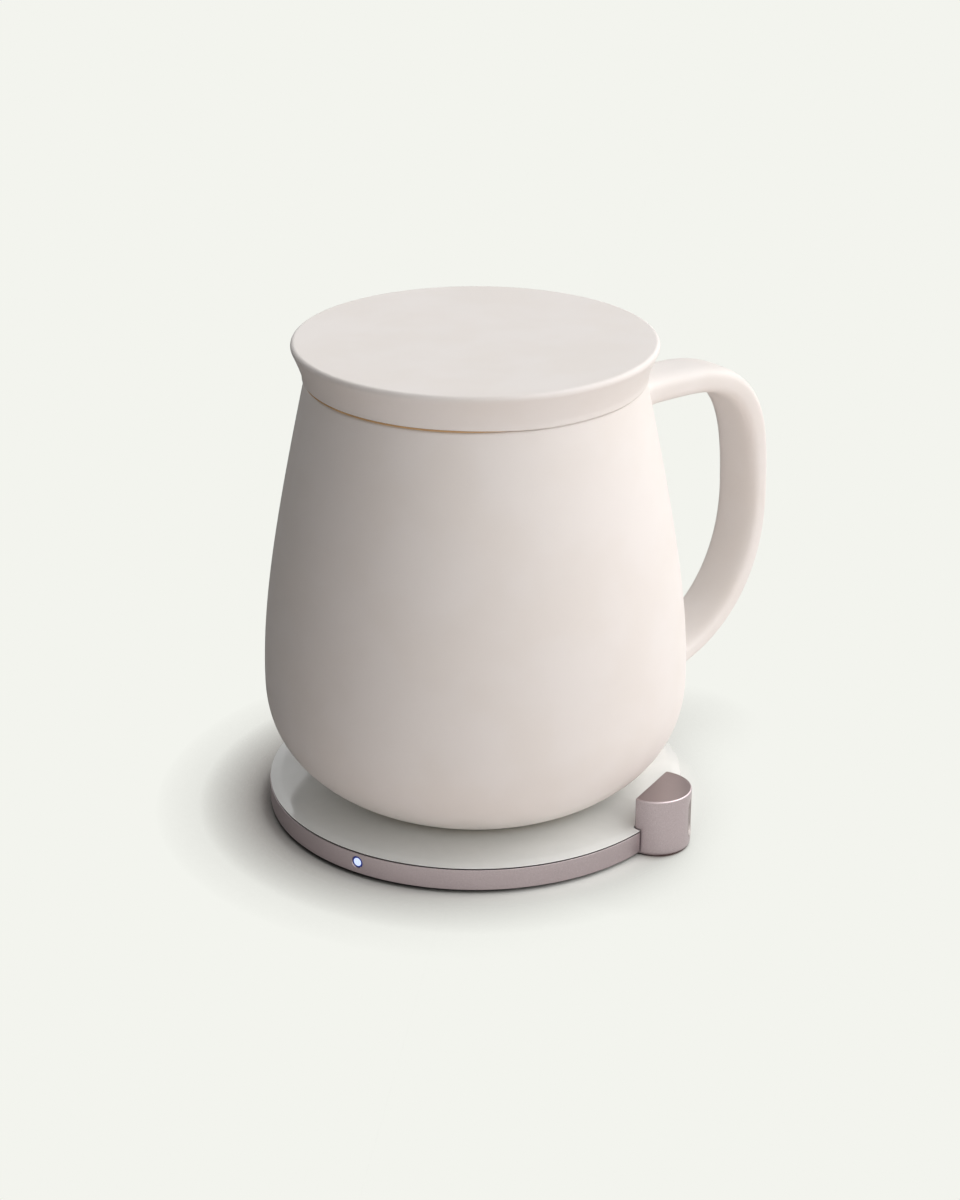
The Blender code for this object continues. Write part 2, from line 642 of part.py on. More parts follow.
def make_indicator(parent, ring):
    """The light on the board's edge and the stepped lens that brings it out through the ring."""
    middle = BOARD_DECK + LED_HEIGHT / 2
    outline = box_outline(LED_DEPTH, LED_WIDTH, BOARD_OUTER - LED_DEPTH / 2, 0, INDICATOR_TURN)
    top = BOARD_DECK + LED_HEIGHT
    soften(prism("indicator_led", outline, BOARD_DECK, top, LED_PLASTIC, parent), PIECE_EDGE)
    start, end = BOARD_OUTER + CUT_GAP, COASTER_RADIUS - LENS_SET_BACK
    neck = end - LENS_HEAD
    lens_profile = stepped_profile(start, neck, end, 0)
    lens = turned("indicator_lens", lens_profile, CLEAR_LENS, parent, LENS_SIDES)
    hole_profile = stepped_profile(start - CUT_OVERRUN, neck - FIT_GAP, end + CUT_OVERRUN, LENS_HOLE_GAP)
    hole = turned("lens_hole", hole_profile, sides=LENS_SIDES)
    for piece in (lens, hole):
        piece.rotation_euler = (0, math.pi / 2, INDICATOR_TURN)
        piece.location = (0, 0, middle)
    cut(ring, hole)


def stadium(tall, wide, along):
    """A round-ended outline standing upright in the socket's own frame, at a distance along its axis."""
    radius, straight = wide / 2, (tall - wide) / 2
    points = []
    for end in (1, -1):
        for i in range(SOCKET_ARC_STEPS + 1):
            angle = math.pi * i / SOCKET_ARC_STEPS
            side = radius * math.cos(angle) * end
            height = (straight + radius * math.sin(angle)) * end
            points.append((along, side, height))
    return points


def socket_part(name, loops, finish=None, parent=None):
    """A piece lofted along the socket's axis and set into the pod."""
    piece = lofted(name, loops, finish, parent)
    x, y = turned_about(POD_CENTRE, 0, POD_TURN)
    piece.location = (x, y, POD_MIDDLE)
    piece.rotation_euler = (0, 0, SOCKET_TURN)
    return piece


def box_loops(low, high):
    """Two rectangles along the socket's axis, as the ends of a box."""
    sides = ((0, 0), (1, 0), (1, 1), (0, 1))
    return [
        [(x, (low[1], high[1])[a], (low[2], high[2])[b]) for a, b in sides] for x in (low[0], high[0])
    ]


def make_pod(parent, base):
    """The pod's shell with its fixing tab, its bottom hatch and the tab's screws."""
    loops = []
    for inset, height in rounded_edge(0, POD_BOTTOM, POD_BOTTOM_EDGE, 1, -1)[::-1]:
        loops.append(pod_outline(-inset, height))
    for inset, height in rounded_edge(0, POD_TOP, POD_TOP_EDGE, 1, 1):
        loops.append(pod_outline(-inset, height))
    shell = lofted("pod_shell", loops, SATIN_METAL, parent)
    tab_start = POD_FACE - TAB_REACH
    length = TAB_REACH + POD_WALL / 2
    tab = box_outline(length, TAB_WIDTH, tab_start + length / 2, 0, POD_TURN)
    cut(shell, prism("pod_tab", tab, INNER_DECK, TAB_TOP), "UNION")
    floor = POD_BOTTOM + HATCH_RECESS + HATCH_THICKNESS + FIT_GAP
    cut(shell, pod_prism("pod_cavity", POD_WALL, floor, POD_TOP - POD_WALL))
    cut(shell, pod_prism("pod_hatch_cut", HATCH_INSET, POD_BOTTOM - CUT_OVERRUN, floor + CUT_OVERRUN))
    window = box_outline(4 * POD_WALL, WINDOW_WIDTH, POD_FACE, 0, POD_TURN)
    cut(shell, prism("pod_window", window, WINDOW_BOTTOM, WINDOW_BOTTOM + WINDOW_HEIGHT))
    tall, wide = SOCKET_TALL + 2 * SOCKET_HOLE_GAP, SOCKET_WIDE + 2 * SOCKET_HOLE_GAP
    inside, outside = POD_RADIUS - POD_WALL - CUT_OVERRUN, POD_RADIUS + CUT_OVERRUN
    cut(shell, socket_part("socket_hole", [stadium(tall, wide, inside), stadium(tall, wide, outside)]))
    tall, wide = tall + 2 * POCKET_RIM, wide + 2 * POCKET_RIM
    pocket = [stadium(tall, wide, POD_RADIUS - POCKET_DEPTH), stadium(tall, wide, outside)]
    cut(shell, socket_part("socket_pocket", pocket))
    hatch_bottom = POD_BOTTOM + HATCH_RECESS
    pod_prism(
        "pod_hatch", HATCH_INSET + CUT_GAP, hatch_bottom, hatch_bottom + HATCH_THICKNESS,
        DARK_PLASTIC, parent,
    )
    for i, side in enumerate((-TAB_SCREW_SPREAD, TAB_SCREW_SPREAD)):
        screw(
            f"pod_screw_{i + 1}", tab_start + TAB_SCREW_INSET, side, TAB_SCREW_LENGTH, parent,
            (base, shell),
        )


def make_socket(parent):
    """The inlet's metal shell, its contact tongue and the small board that carries them."""
    back = SOCKET_MOUTH - SOCKET_DEPTH
    loops = [stadium(SOCKET_TALL, SOCKET_WIDE, back), stadium(SOCKET_TALL, SOCKET_WIDE, SOCKET_MOUTH)]
    shell = socket_part("socket_shell", loops, BRIGHT_STEEL, parent)
    tall, wide = SOCKET_TALL - 2 * SOCKET_WALL, SOCKET_WIDE - 2 * SOCKET_WALL
    hollow = [stadium(tall, wide, back + SOCKET_BACK), stadium(tall, wide, SOCKET_MOUTH + CUT_OVERRUN)]
    cut(shell, socket_part("socket_hollow", hollow))
    root = back + SOCKET_BACK + FIT_GAP
    tongue = socket_part(
        "socket_tongue",
        box_loops(
            (root, -TONGUE_WIDE / 2, -TONGUE_TALL / 2),
            (root + TONGUE_LENGTH, TONGUE_WIDE / 2, TONGUE_TALL / 2),
        ),
        CHIP_PLASTIC, parent,
    )
    soften(tongue, PIECE_EDGE)
    near = -SOCKET_WIDE / 2 - FIT_GAP
    socket_part(
        "socket_board",
        box_loops(
            (back, near - SOCKET_BOARD_THICKNESS, -SOCKET_BOARD_TALL / 2),
            (back + SOCKET_BOARD_LENGTH, near, SOCKET_BOARD_TALL / 2),
        ),
        GREEN_BOARD, parent,
    )


def make_flex(parent):
    """The flat lead from the pod, through its window, to a connector on the charger board."""
    far, near = -FLEX_SIDE - FLEX_WIDTH, -FLEX_SIDE
    tip, corner = POD_CENTRE + FLEX_START, FLEX_CORNER
    outline = [
        (corner - FLEX_TURN_WIDTH, -FLEX_END), (corner, -FLEX_END), (corner, far),
        (tip, far), (tip, near), (corner - FLEX_TURN_WIDTH, near),
    ]
    outline = [turned_about(along, side, POD_TURN) for along, side in outline]
    prism("socket_flex", outline, FLEX_BOTTOM, FLEX_BOTTOM + FLEX_THICKNESS, FLEX_FILM, parent)
    outline = box_outline(
        CONNECTOR_LENGTH, CONNECTOR_WIDTH, corner - FLEX_TURN_WIDTH / 2,
        -FLEX_END + CONNECTOR_WIDTH / 2, POD_TURN,
    )
    prism("flex_connector", outline, BOARD_DECK, BOARD_DECK + CONNECTOR_HEIGHT, CHIP_PLASTIC, parent)


def outer_wall(grow=0.0):
    """The mug's outer profile from its foot up to the rim, moved outwards by grow."""
    points = []
    foot = BELLY_HEIGHT - MUG_BASE - FOOT_EDGE
    for i in range(BELLY_STEPS):
        height = BELLY_HEIGHT - foot * (1 - i / BELLY_STEPS) ** BELLY_CROWDING
        points.append((body_radius(height) + grow, height))
    top = RIM_HEIGHT - RIM_EDGE
    for i in range(TAPER_STEPS + 1):
        height = BELLY_HEIGHT + (top - BELLY_HEIGHT) * i / TAPER_STEPS
        points.append((body_radius(height) + grow, height))
    return points


def cup_wall():
    """The inside of the cup from the rim down to its flat floor's middle."""
    points = []
    top = RIM_HEIGHT - RIM_EDGE
    for i in range(CUP_TAPER_STEPS):
        height = top + (BELLY_HEIGHT - top) * i / CUP_TAPER_STEPS
        points.append((body_radius(height) - MUG_WALL, height))
    width, depth = BELLY_RADIUS - MUG_WALL, BELLY_HEIGHT - CUP_FLOOR
    for i in range(CUP_BELLY_STEPS):
        angle = math.pi / 2 * i / CUP_BELLY_STEPS
        radius = width * math.cos(angle) ** (2 / CUP_EXPONENT)
        points.append((radius, BELLY_HEIGHT - depth * math.sin(angle) ** (2 / CUP_EXPONENT)))
    return points + [(0, CUP_FLOOR)]


def make_mug(parent):
    """The glazed body: the cup, its rounded rim and the well for the heater under its floor."""
    foot = body_radius(MUG_BASE + FOOT_EDGE) - FOOT_EDGE
    profile = [(0, WELL_TOP), (WELL_RADIUS, WELL_TOP), (WELL_RADIUS, MUG_BASE), (foot, MUG_BASE)]
    profile += outer_wall()
    profile += rounded_edge(RIM_RADIUS, RIM_HEIGHT, RIM_EDGE, 1, 1)[1:]
    profile += rounded_edge(CUP_MOUTH, RIM_HEIGHT, RIM_EDGE, -1, 1)[::-1][:-1]
    profile += cup_wall()
    turned("mug_body", profile, GLAZED_CERAMIC, parent)


def handle_path():
    """The strap's centreline as (radius, height): a level run out from the neck, a tight upper
    bend, an easy lower bend and a level run back into the belly."""
    root = body_radius(HANDLE_TOP_HEIGHT) - HANDLE_ROOT
    foot = body_radius(HANDLE_FOOT_HEIGHT) - HANDLE_ROOT
    path = []
    for i in range(FLARE_STEPS + 1):
        path.append((root + (HANDLE_BEND_START - root) * i / (FLARE_STEPS + 1), HANDLE_TOP_HEIGHT))
    bends = (
        (HANDLE_BEND_START, HANDLE_TOP_HEIGHT, HANDLE_UPPER_EXPONENT, False),
        (HANDLE_FOOT_START, HANDLE_FOOT_HEIGHT, HANDLE_LOWER_EXPONENT, True),
    )
    for start, end_height, exponent, downward in bends:
        steps = range(HANDLE_BEND_STEPS + 1)
        for i in list(reversed(steps))[1:] if downward else steps:
            angle = math.pi / 2 * (1 - i / HANDLE_BEND_STEPS)
            out = math.cos(angle) ** (2 / exponent)
            rise = math.sin(angle) ** (2 / exponent)
            radius = start + (HANDLE_REACH - start) * out
            height = HANDLE_REACH_HEIGHT + (end_height - HANDLE_REACH_HEIGHT) * rise
            path.append((radius, height))
    if foot < HANDLE_FOOT_START:
        path.append((foot, HANDLE_FOOT_HEIGHT))
    return path


def strap_section(width, thickness):
    """A rectangle with rounded corners as (across, through) points."""
    edge = min(HANDLE_EDGE, thickness / 2)
    points = []
    for k, (a, b) in enumerate(((1, 1), (-1, 1), (-1, -1), (1, -1))):
        for i in range(HANDLE_CORNER_STEPS + 1):
            angle = math.pi / 2 * (k + i / HANDLE_CORNER_STEPS)
            across = a * (width / 2 - edge) + edge * math.cos(angle)
            through = b * (thickness / 2 - edge) + edge * math.sin(angle)
            points.append((across, through))
    return points


def make_handle(parent):
    """The strap swept down its centreline, flared where it meets the body and trimmed to it."""
    path = handle_path()
    lengths = [0.0]
    for (r0, z0), (r1, z1) in zip(path[:-1], path[1:]):
        lengths.append(lengths[-1] + math.hypot(r1 - r0, z1 - z0))
    loops = []
    for i, (radius, height) in enumerate(path):
        before, after = path[max(i - 1, 0)], path[min(i + 1, len(path) - 1)]
        run = math.hypot(after[0] - before[0], after[1] - before[1])
        along = ((after[0] - before[0]) / run, (after[1] - before[1]) / run)
        end = min(lengths[i], lengths[-1] - lengths[i]) - HANDLE_ROOT
        share = min(max(1 - end / HANDLE_FLARE_LENGTH, 0.0), 1.0)
        flare = 2 * HANDLE_FLARE * share**2
        section = strap_section(HANDLE_WIDTH + flare, HANDLE_THICKNESS + flare)
        loops.append([(radius - b * along[1], a, height + b * along[0]) for a, b in section])
    handle = lofted("handle", loops, GLAZED_CERAMIC, parent)
    profile = [(0, MUG_BASE)] + outer_wall(REST_GAP) + [(0, RIM_HEIGHT - RIM_EDGE)]
    cut(handle, turned("handle_trim", profile))


def make_heater(parent):
    """What heats the mug: from the cover up, the receiving coil, its ferrite sheet and board, the
    felt ring and the heating disc that is bonded under the cup's floor."""
    cover = WELL_RADIUS - 2 * FIT_GAP - SEAL_WIDTH
    disc("mug_base_cover", 0, cover, COVER_BOTTOM, COVER_THICKNESS, DARK_PLASTIC, parent)
    low = COVER_BOTTOM + (COVER_THICKNESS - SEAL_HEIGHT) / 2
    disc(
        "base_cover_seal", cover + FIT_GAP, WELL_RADIUS - FIT_GAP, low, SEAL_HEIGHT,
        BLACK_SILICONE, parent,
    )
    disc(
        "receiver_coil", RECEIVER_COIL_INNER, WELL_RADIUS - COIL_ROOM, RECEIVER_COIL_BOTTOM,
        RECEIVER_COIL_THICKNESS, COPPER, parent,
    )
    disc(
        "receiver_ferrite", 0, WELL_RADIUS - FERRITE_ROOM, RECEIVER_FERRITE_BOTTOM,
        RECEIVER_FERRITE_THICKNESS, FERRITE, parent,
    )
    disc(
        "receiver_board", 0, STACK_RADIUS, RECEIVER_BOARD_BOTTOM, RECEIVER_BOARD_THICKNESS,
        GREEN_BOARD, parent,
    )
    disc(
        "felt_ring", STACK_RADIUS - FELT_WIDTH, STACK_RADIUS, RECEIVER_DECK, FELT_THICKNESS,
        SILICA_FELT, parent,
    )
    outline = box_outline(RECTIFIER_SIDE, RECTIFIER_SIDE, RECTIFIER_OFFSET, 0, 0)
    top = RECEIVER_DECK + RECTIFIER_HEIGHT
    soften(prism("rectifier_chip", outline, RECEIVER_DECK, top, CHIP_PLASTIC, parent), PIECE_EDGE)
    disc(
        "temperature_sensor", 0, SENSOR_RADIUS, RECEIVER_DECK, FELT_THICKNESS, CHIP_PLASTIC, parent,
        SCREW_SIDES,
    )
    disc("heating_disc", 0, STACK_RADIUS, HEATER_BOTTOM, HEATER_THICKNESS, ALUMINA, parent)


def make_lid(parent):
    """The ceramic lid: a flat top that flares out, and a hollow plug that reaches into the mouth."""
    bore = PLUG_RADIUS - PLUG_WALL
    ceiling = LID_TOP - LID_THICKNESS
    profile = [(0, ceiling), (bore, ceiling)]
    profile += rounded_edge(bore, PLUG_BOTTOM, PLUG_EDGE, -1, -1, 2)
    profile += rounded_edge(PLUG_RADIUS, PLUG_BOTTOM, PLUG_EDGE, 1, -1, 2)[::-1]
    profile += [(PLUG_RADIUS, LID_SEAT), (LID_FOOT_RADIUS - LID_FOOT_EDGE, LID_SEAT)]
    low, high = LID_SEAT + LID_FOOT_EDGE, LID_TOP - LID_TOP_EDGE
    for i in range(LID_FLARE_STEPS):
        share = i / LID_FLARE_STEPS
        out = share**LID_FLARE_EXPONENT
        profile.append(
            (LID_FOOT_RADIUS + (LID_TOP_RADIUS - LID_FOOT_RADIUS) * out, low + (high - low) * share)
        )
    profile += rounded_edge(LID_TOP_RADIUS, LID_TOP, LID_TOP_EDGE, 1, 1)
    profile.append((0, LID_TOP))
    turned("lid", profile, GLAZED_CERAMIC, parent)


def make_lid_seal(parent):
    """The silicone ring: a sleeve round the plug with a flange that lies on the mug's rim."""
    inner = PLUG_RADIUS + FIT_GAP
    top = LID_SEAT - FIT_GAP
    low = top - SEAL_FLANGE
    flange = RIM_RADIUS - SEAL_EDGE_INSET
    profile = [
        (inner, top - SEAL_SLEEVE_DEPTH), (SEAL_OUTER, top - SEAL_SLEEVE_DEPTH),
        (SEAL_OUTER, low), (flange, low), (flange, top), (inner, top),
    ]
    turned("lid_seal", profile, TAN_SILICONE, parent, closed=True)


def make_coaster(parent):
    """The charging coaster, which stands on the table."""
    ring = make_ring(parent)
    make_plate(parent)
    make_adhesive(parent)
    base = make_underside(parent)
    make_coil_stack(parent)
    make_board(parent)
    make_components(parent)
    make_indicator(parent, ring)
    make_pod(parent, base)
    make_socket(parent)
    make_flex(parent)
    for i, turn in enumerate(BOSS_TURNS_DEG):
        angle = math.radians(turn)
        distance, side = BOSS_DISTANCE * math.cos(angle), BOSS_DISTANCE * math.sin(angle)
        screw(f"base_screw_{i + 1}", distance, side, SCREW_LENGTH, parent, (ring, base))


def main():
    for old in list(bpy.data.objects):
        bpy.data.objects.remove(old, do_unlink=True)
    coaster = frame_empty("coaster_frame", 0)
    mug = frame_empty("mug_lift", MUG_BASE, coaster)
    lid = frame_empty("lid_lift", LID_SEAT, mug)
    make_coaster(coaster)
    make_mug(mug)
    make_handle(mug)
    make_heater(mug)
    make_lid(lid)
    make_lid_seal(lid)


main()
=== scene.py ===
"""Looks of the self heating mug: its shapes in fine detail and its finishes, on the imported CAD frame.

Metres, +Z up, in the CAD's own frame: the origin is the middle of the coaster's foot pad and +X runs
along the mug's handle. Every shape is a grid of points that numpy works out from a formula, and every
finish is a Principled shader with a pattern in object coordinates.
"""

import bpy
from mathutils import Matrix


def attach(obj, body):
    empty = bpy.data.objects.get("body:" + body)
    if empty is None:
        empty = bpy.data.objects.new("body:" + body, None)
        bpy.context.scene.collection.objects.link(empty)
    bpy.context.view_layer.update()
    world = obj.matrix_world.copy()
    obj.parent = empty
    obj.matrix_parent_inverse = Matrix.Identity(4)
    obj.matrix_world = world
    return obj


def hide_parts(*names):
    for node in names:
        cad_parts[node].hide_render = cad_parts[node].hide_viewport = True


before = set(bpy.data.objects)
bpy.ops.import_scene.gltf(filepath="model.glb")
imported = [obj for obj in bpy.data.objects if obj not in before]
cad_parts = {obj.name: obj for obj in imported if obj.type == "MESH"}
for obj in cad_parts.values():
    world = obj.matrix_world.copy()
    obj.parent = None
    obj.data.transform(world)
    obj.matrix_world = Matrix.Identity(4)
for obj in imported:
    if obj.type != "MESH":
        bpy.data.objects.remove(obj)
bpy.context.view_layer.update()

import logging
import math
from collections.abc import Callable, Sequence
from dataclasses import dataclass
from enum import Enum

import bmesh
import bpy
import numpy as np

Array = np.ndarray
Socket = bpy.types.NodeSocket
Tree = bpy.types.NodeTree
Piece = bpy.types.Object

LOG = logging.getLogger("self_heating_mug")
MM = 0.001
ROUND_SIDES = 200
SMALL_SIDES = 64
SHARP_ANGLE = math.radians(32)
MERGE_DISTANCE = 1e-6
ARC_EASE = 0.3  # how far past an arc its extra point lies, as a share of the radius or of the flat's length
OVERRUN = 2 * MM  # how far a cutter runs past what it cuts
TURN_STEPS = 72  # steps in each turn of a winding
WIRE_SIDES = 12
WIRE_FILL = 0.96  # the wire's width as a share of the room that each turn has
NOISE_RANGE = (0.3, 0.7)  # where nearly all of a soft noise lies
NOISE_CORE = (0.35, 0.65)  # where most of it lies
BLACK = (0.0, 0.0, 0.0, 1.0)


class Body(Enum):
    """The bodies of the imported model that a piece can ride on."""

    COASTER = "coaster"
    MUG = "mug"
    LID = "lid"


class Carving(Enum):
    """What a cutter does to a piece."""

    CUT = "DIFFERENCE"
    JOIN = "UNION"


@dataclass(frozen=True)
class Edges:
    """Corner radii, from the keenest edge that a tool leaves to the roundest."""

    keen: float = 0.04 * MM
    cut: float = 0.05 * MM
    crisp: float = 0.06 * MM
    clean: float = 0.08 * MM
    broken: float = 0.1 * MM
    eased: float = 0.12 * MM
    drawn: float = 0.13 * MM
    dulled: float = 0.15 * MM
    soft: float = 0.2 * MM
    pressed: float = 0.22 * MM
    turned: float = 0.25 * MM
    moulded: float = 0.3 * MM
    fired: float = 0.5 * MM
    cast: float = 1.2 * MM


EDGE = Edges()


# Shaders


def linear(code: str) -> tuple[float, float, float, float]:
    """The linear RGBA of a hexadecimal sRGB code.

    Args:
        code: the colour as #RRGGBB.

    Returns:
        Four channels, each from 0 to 1.
    """
    channels = np.array([int(code[i : i + 2], 16) for i in (1, 3, 5)]) / 255
    curve = np.where(channels <= 0.04045, channels / 12.92, ((channels + 0.055) / 1.055) ** 2.4)
    return (*(float(c) for c in curve), 1.0)


def add_node(tree: Tree, kind: str, inputs: dict | None = None, **settings) -> bpy.types.Node:
    """Adds a shader node with its settings, values and links.

    Args:
        tree: the material's or world's node tree.
        kind: Blender's name of the node type.
        inputs: for a socket's name or number, its value or the output that feeds it.
        **settings: the node's own attributes.

    Returns:
        The new node.
    """
    node = tree.nodes.new(kind)
    for name, value in settings.items():
        setattr(node, name, value)
    for key, value in (inputs or {}).items():
        if isinstance(value, Socket):
            tree.links.new(value, node.inputs[key])
        else:
            node.inputs[key].default_value = value
    return node


def noise(tree: Tree, coords: Socket, size: float, detail: float = 2.0) -> Socket:
    """Soft noise whose blobs are about size metres across, as a value round 0.5."""
    inputs = {"Vector": coords, "Scale": 1 / size, "Detail": detail}
    return add_node(tree, "ShaderNodeTexNoise", inputs).outputs["Fac"]


def ramp(tree: Tree, value: Socket, low: float, high: float, start: float, end: float) -> Socket:
    """Maps a value along a smooth step, and holds it beyond both ends.

    Args:
        tree: the node tree.
        value: what is mapped.
        low: the value that gives start.
        high: the value that gives end.
        start: the result at low.
        end: the result at high.

    Returns:
        The mapped value.
    """
    inputs = {"Value": value, 1: low, 2: high, 3: start, 4: end}
    node = add_node(tree, "ShaderNodeMapRange", inputs, interpolation_type="SMOOTHSTEP")
    return node.outputs["Result"]


def mixed(tree: Tree, share: Socket, first: Socket | tuple, second: Socket | tuple) -> Socket:
    """The colour that lies share of the way from first to second."""
    node = add_node(tree, "ShaderNodeMix", {0: share, 6: first, 7: second}, data_type="RGBA")
    return node.outputs[2]


def relief(tree: Tree, shader: bpy.types.Node, height: Socket, depth: float) -> None:
    """Bends the shader's normal as a relief of height (0 to 1) times depth metres would."""
    bump = add_node(tree, "ShaderNodeBump", {"Height": height, "Distance": depth, "Strength": 1.0})
    tree.links.new(bump.outputs["Normal"], shader.inputs["Normal"])


def plainly_seen(tree: Tree) -> Socket:
    """Tells the rays that see the plain backdrop from those that carry light.

    Args:
        tree: the floor's or the world's node tree.

    Returns:
        One for rays from the camera, a mirror or glass, and zero for others.
    """
    path = add_node(tree, "ShaderNodeLightPath").outputs
    rays = [path[f"Is {kind} Ray"] for kind in ("Camera", "Glossy", "Transmission")]
    some = add_node(tree, "ShaderNodeMath", {0: rays[0], 1: rays[1]}, operation="MAXIMUM").outputs["Value"]
    return add_node(tree, "ShaderNodeMath", {0: some, 1: rays[2]}, operation="MAXIMUM").outputs["Value"]


@dataclass(frozen=True)
class Finish:
    """A surface finish: one material, the name of its slot and the pattern it carries."""

    name: str
    slot: str
    colour: str
    roughness: float
    metallic: float = 0.0
    coat: float = 0.0
    coat_roughness: float = 0.05
    ior: float = 1.5

    def build(self) -> bpy.types.Material:
        """Makes the material once, and hands the same one out after that.

        Returns:
            The material.
        """
        made = bpy.data.materials.get(self.name)
        if made:
            return made
        made = bpy.data.materials.new(self.name)
        made.use_nodes = True
        tree = made.node_tree
        shader = tree.nodes["Principled BSDF"]
        shader.inputs["Base Color"].default_value = linear(self.colour)
        shader.inputs["Roughness"].default_value = self.roughness
        shader.inputs["Metallic"].default_value = self.metallic
        shader.inputs["Coat Weight"].default_value = self.coat
        shader.inputs["Coat Roughness"].default_value = self.coat_roughness
        shader.inputs["IOR"].default_value = self.ior
        made.diffuse_color = linear(self.colour)
        coords = add_node(tree, "ShaderNodeTexCoord").outputs["Object"]
        self.pattern(tree, shader, coords)
        return made

    def pattern(self, tree: Tree, shader: bpy.types.Node, coords: Socket) -> None:
        """Links what varies over the surface. Each kind of finish has its own.

        Args:
            tree: the material's node tree.
            shader: its Principled shader.
            coords: the point's object coordinates.
        """


@dataclass(frozen=True)
class Grained(Finish):
    """An even surface with a fine grain, as moulding, casting, sintering or rolling leaves it."""

    second: str = "#808080"
    share: float = 0.3
    grain: float = 0.4 * MM
    depth: float = 0.002 * MM
    spread: float = 0.05
    patch: float = 9 * MM

    def pattern(self, tree: Tree, shader: bpy.types.Node, coords: Socket) -> None:
        """Drifts the colour with the grain, the roughness with broad patches, and lifts the grain.

        Args:
            tree: the material's node tree.
            shader: its Principled shader.
            coords: the point's object coordinates.
        """
        fine = noise(tree, coords, self.grain, detail=3.0)
        broad = noise(tree, coords, self.patch)
        share = ramp(tree, fine, *NOISE_RANGE, 0.0, self.share)
        colour = mixed(tree, share, linear(self.colour), linear(self.second))
        low, high = self.roughness - self.spread, self.roughness + self.spread
        tree.links.new(colour, shader.inputs["Base Color"])
        tree.links.new(ramp(tree, broad, *NOISE_RANGE, low, high), shader.inputs["Roughness"])
        relief(tree, shader, fine, self.depth)


@dataclass(frozen=True)
class Glaze(Finish):
    """Satin glaze fired on a stoneware body, with the foot left bare."""

    thin: str = "#E2DAD3"
    bare: str = "#D8CCBC"
    grit: str = "#C9BBA9"
    bare_below: float = -1.0
    bare_roughness: float = 0.8
    wander: float = 0.5 * MM
    line_blur: float = 0.08 * MM
    pool: float = 16 * MM
    pool_share: float = 0.35
    grit_share: float = 0.6
    spread: float = 0.03
    ripple: float = 2.4 * MM
    ripple_depth: float = 0.004 * MM
    clay_grain: float = 0.35 * MM

    def pattern(self, tree: Tree, shader: bpy.types.Node, coords: Socket) -> None:
        """Glaze that is a touch warmer where it is thin, faintly rippled, over bare clay at the foot.

        Args:
            tree: the material's node tree.
            shader: its Principled shader.
            coords: the point's object coordinates.
        """
        height = add_node(tree, "ShaderNodeSeparateXYZ", {"Vector": coords}).outputs["Z"]
        edge = noise(tree, coords, self.ripple)
        inputs = {0: edge, 1: -self.wander, 2: height}
        level = add_node(tree, "ShaderNodeMath", inputs, operation="MULTIPLY_ADD").outputs["Value"]
        line = self.bare_below - self.wander / 2
        glazed = ramp(tree, level, line - self.line_blur, line + self.line_blur, 0.0, 1.0)
        pooled = ramp(tree, noise(tree, coords, self.pool), *NOISE_CORE, 0.0, self.pool_share)
        glaze = mixed(tree, pooled, linear(self.colour), linear(self.thin))
        grain = noise(tree, coords, self.clay_grain, detail=3.0)
        gritty = ramp(tree, grain, *NOISE_CORE, 0.0, self.grit_share)
        clay = mixed(tree, gritty, linear(self.bare), linear(self.grit))
        tree.links.new(mixed(tree, glazed, clay, glaze), shader.inputs["Base Color"])
        satin = ramp(tree, noise(tree, coords, self.pool / 2), *NOISE_RANGE, -self.spread, self.spread)
        rough = ramp(tree, glazed, 0.0, 1.0, self.bare_roughness, self.roughness)
        total = add_node(tree, "ShaderNodeMath", {0: rough, 1: satin}, operation="ADD")
        tree.links.new(total.outputs["Value"], shader.inputs["Roughness"])
        relief(tree, shader, edge, self.ripple_depth)


@dataclass(frozen=True)
class Blasted(Finish):
    """Aluminium that was bead blasted and then anodised, so each dimple sends its own glint."""

    dark: str = "#9C9296"
    light: str = "#D0C8CC"
    # painted shade: the darker, browner colour that faces looking straight up take
    level: str = "#9A8D8C"
    dimple: float = 0.2 * MM
    dimple_depth: float = 0.003 * MM
    dark_range: tuple[float, float] = (0.25, 0.5)
    light_range: tuple[float, float] = (0.5, 0.75)
    tone_share: float = 0.35
    top_shade_range: tuple[float, float] = (0.9, 0.99)
    top_shade_share: float = 0.85
    drift: float = 11 * MM
    spread: float = 0.03

    def pattern(self, tree: Tree, shader: bpy.types.Node, coords: Socket) -> None:
        """Dimples in tone and relief, with a slow drift in roughness over the part.

        Real bead dimples are about 0.05 mm across. They are drawn at 0.2 mm, which is the finest
        that shows as a sparkle at this distance. Faces that look straight up take the level tone, which
        is painted shade: a darker, browner colour in place of the dimmer reflection on the top.

        Args:
            tree: the material's node tree.
            shader: its Principled shader.
            coords: the point's object coordinates.
        """
        dimples = noise(tree, coords, self.dimple, detail=1.0)
        low = ramp(tree, dimples, *self.dark_range, self.tone_share, 0.0)
        high = ramp(tree, dimples, *self.light_range, 0.0, self.tone_share)
        colour = mixed(tree, low, linear(self.colour), linear(self.dark))
        colour = mixed(tree, high, colour, linear(self.light))
        # Painted shade: faces that look straight up are tinted towards the darker level colour
        facing = add_node(tree, "ShaderNodeNewGeometry").outputs["True Normal"]
        upward = add_node(tree, "ShaderNodeSeparateXYZ", {"Vector": facing}).outputs["Z"]
        painted_top_shade = ramp(tree, upward, *self.top_shade_range, 0.0, self.top_shade_share)
        tree.links.new(mixed(tree, painted_top_shade, colour, linear(self.level)), shader.inputs["Base Color"])
        broad = noise(tree, coords, self.drift)
        rough = ramp(tree, broad, *NOISE_RANGE, self.roughness - self.spread, self.roughness + self.spread)
        tree.links.new(rough, shader.inputs["Roughness"])
        relief(tree, shader, dimples, self.dimple_depth)


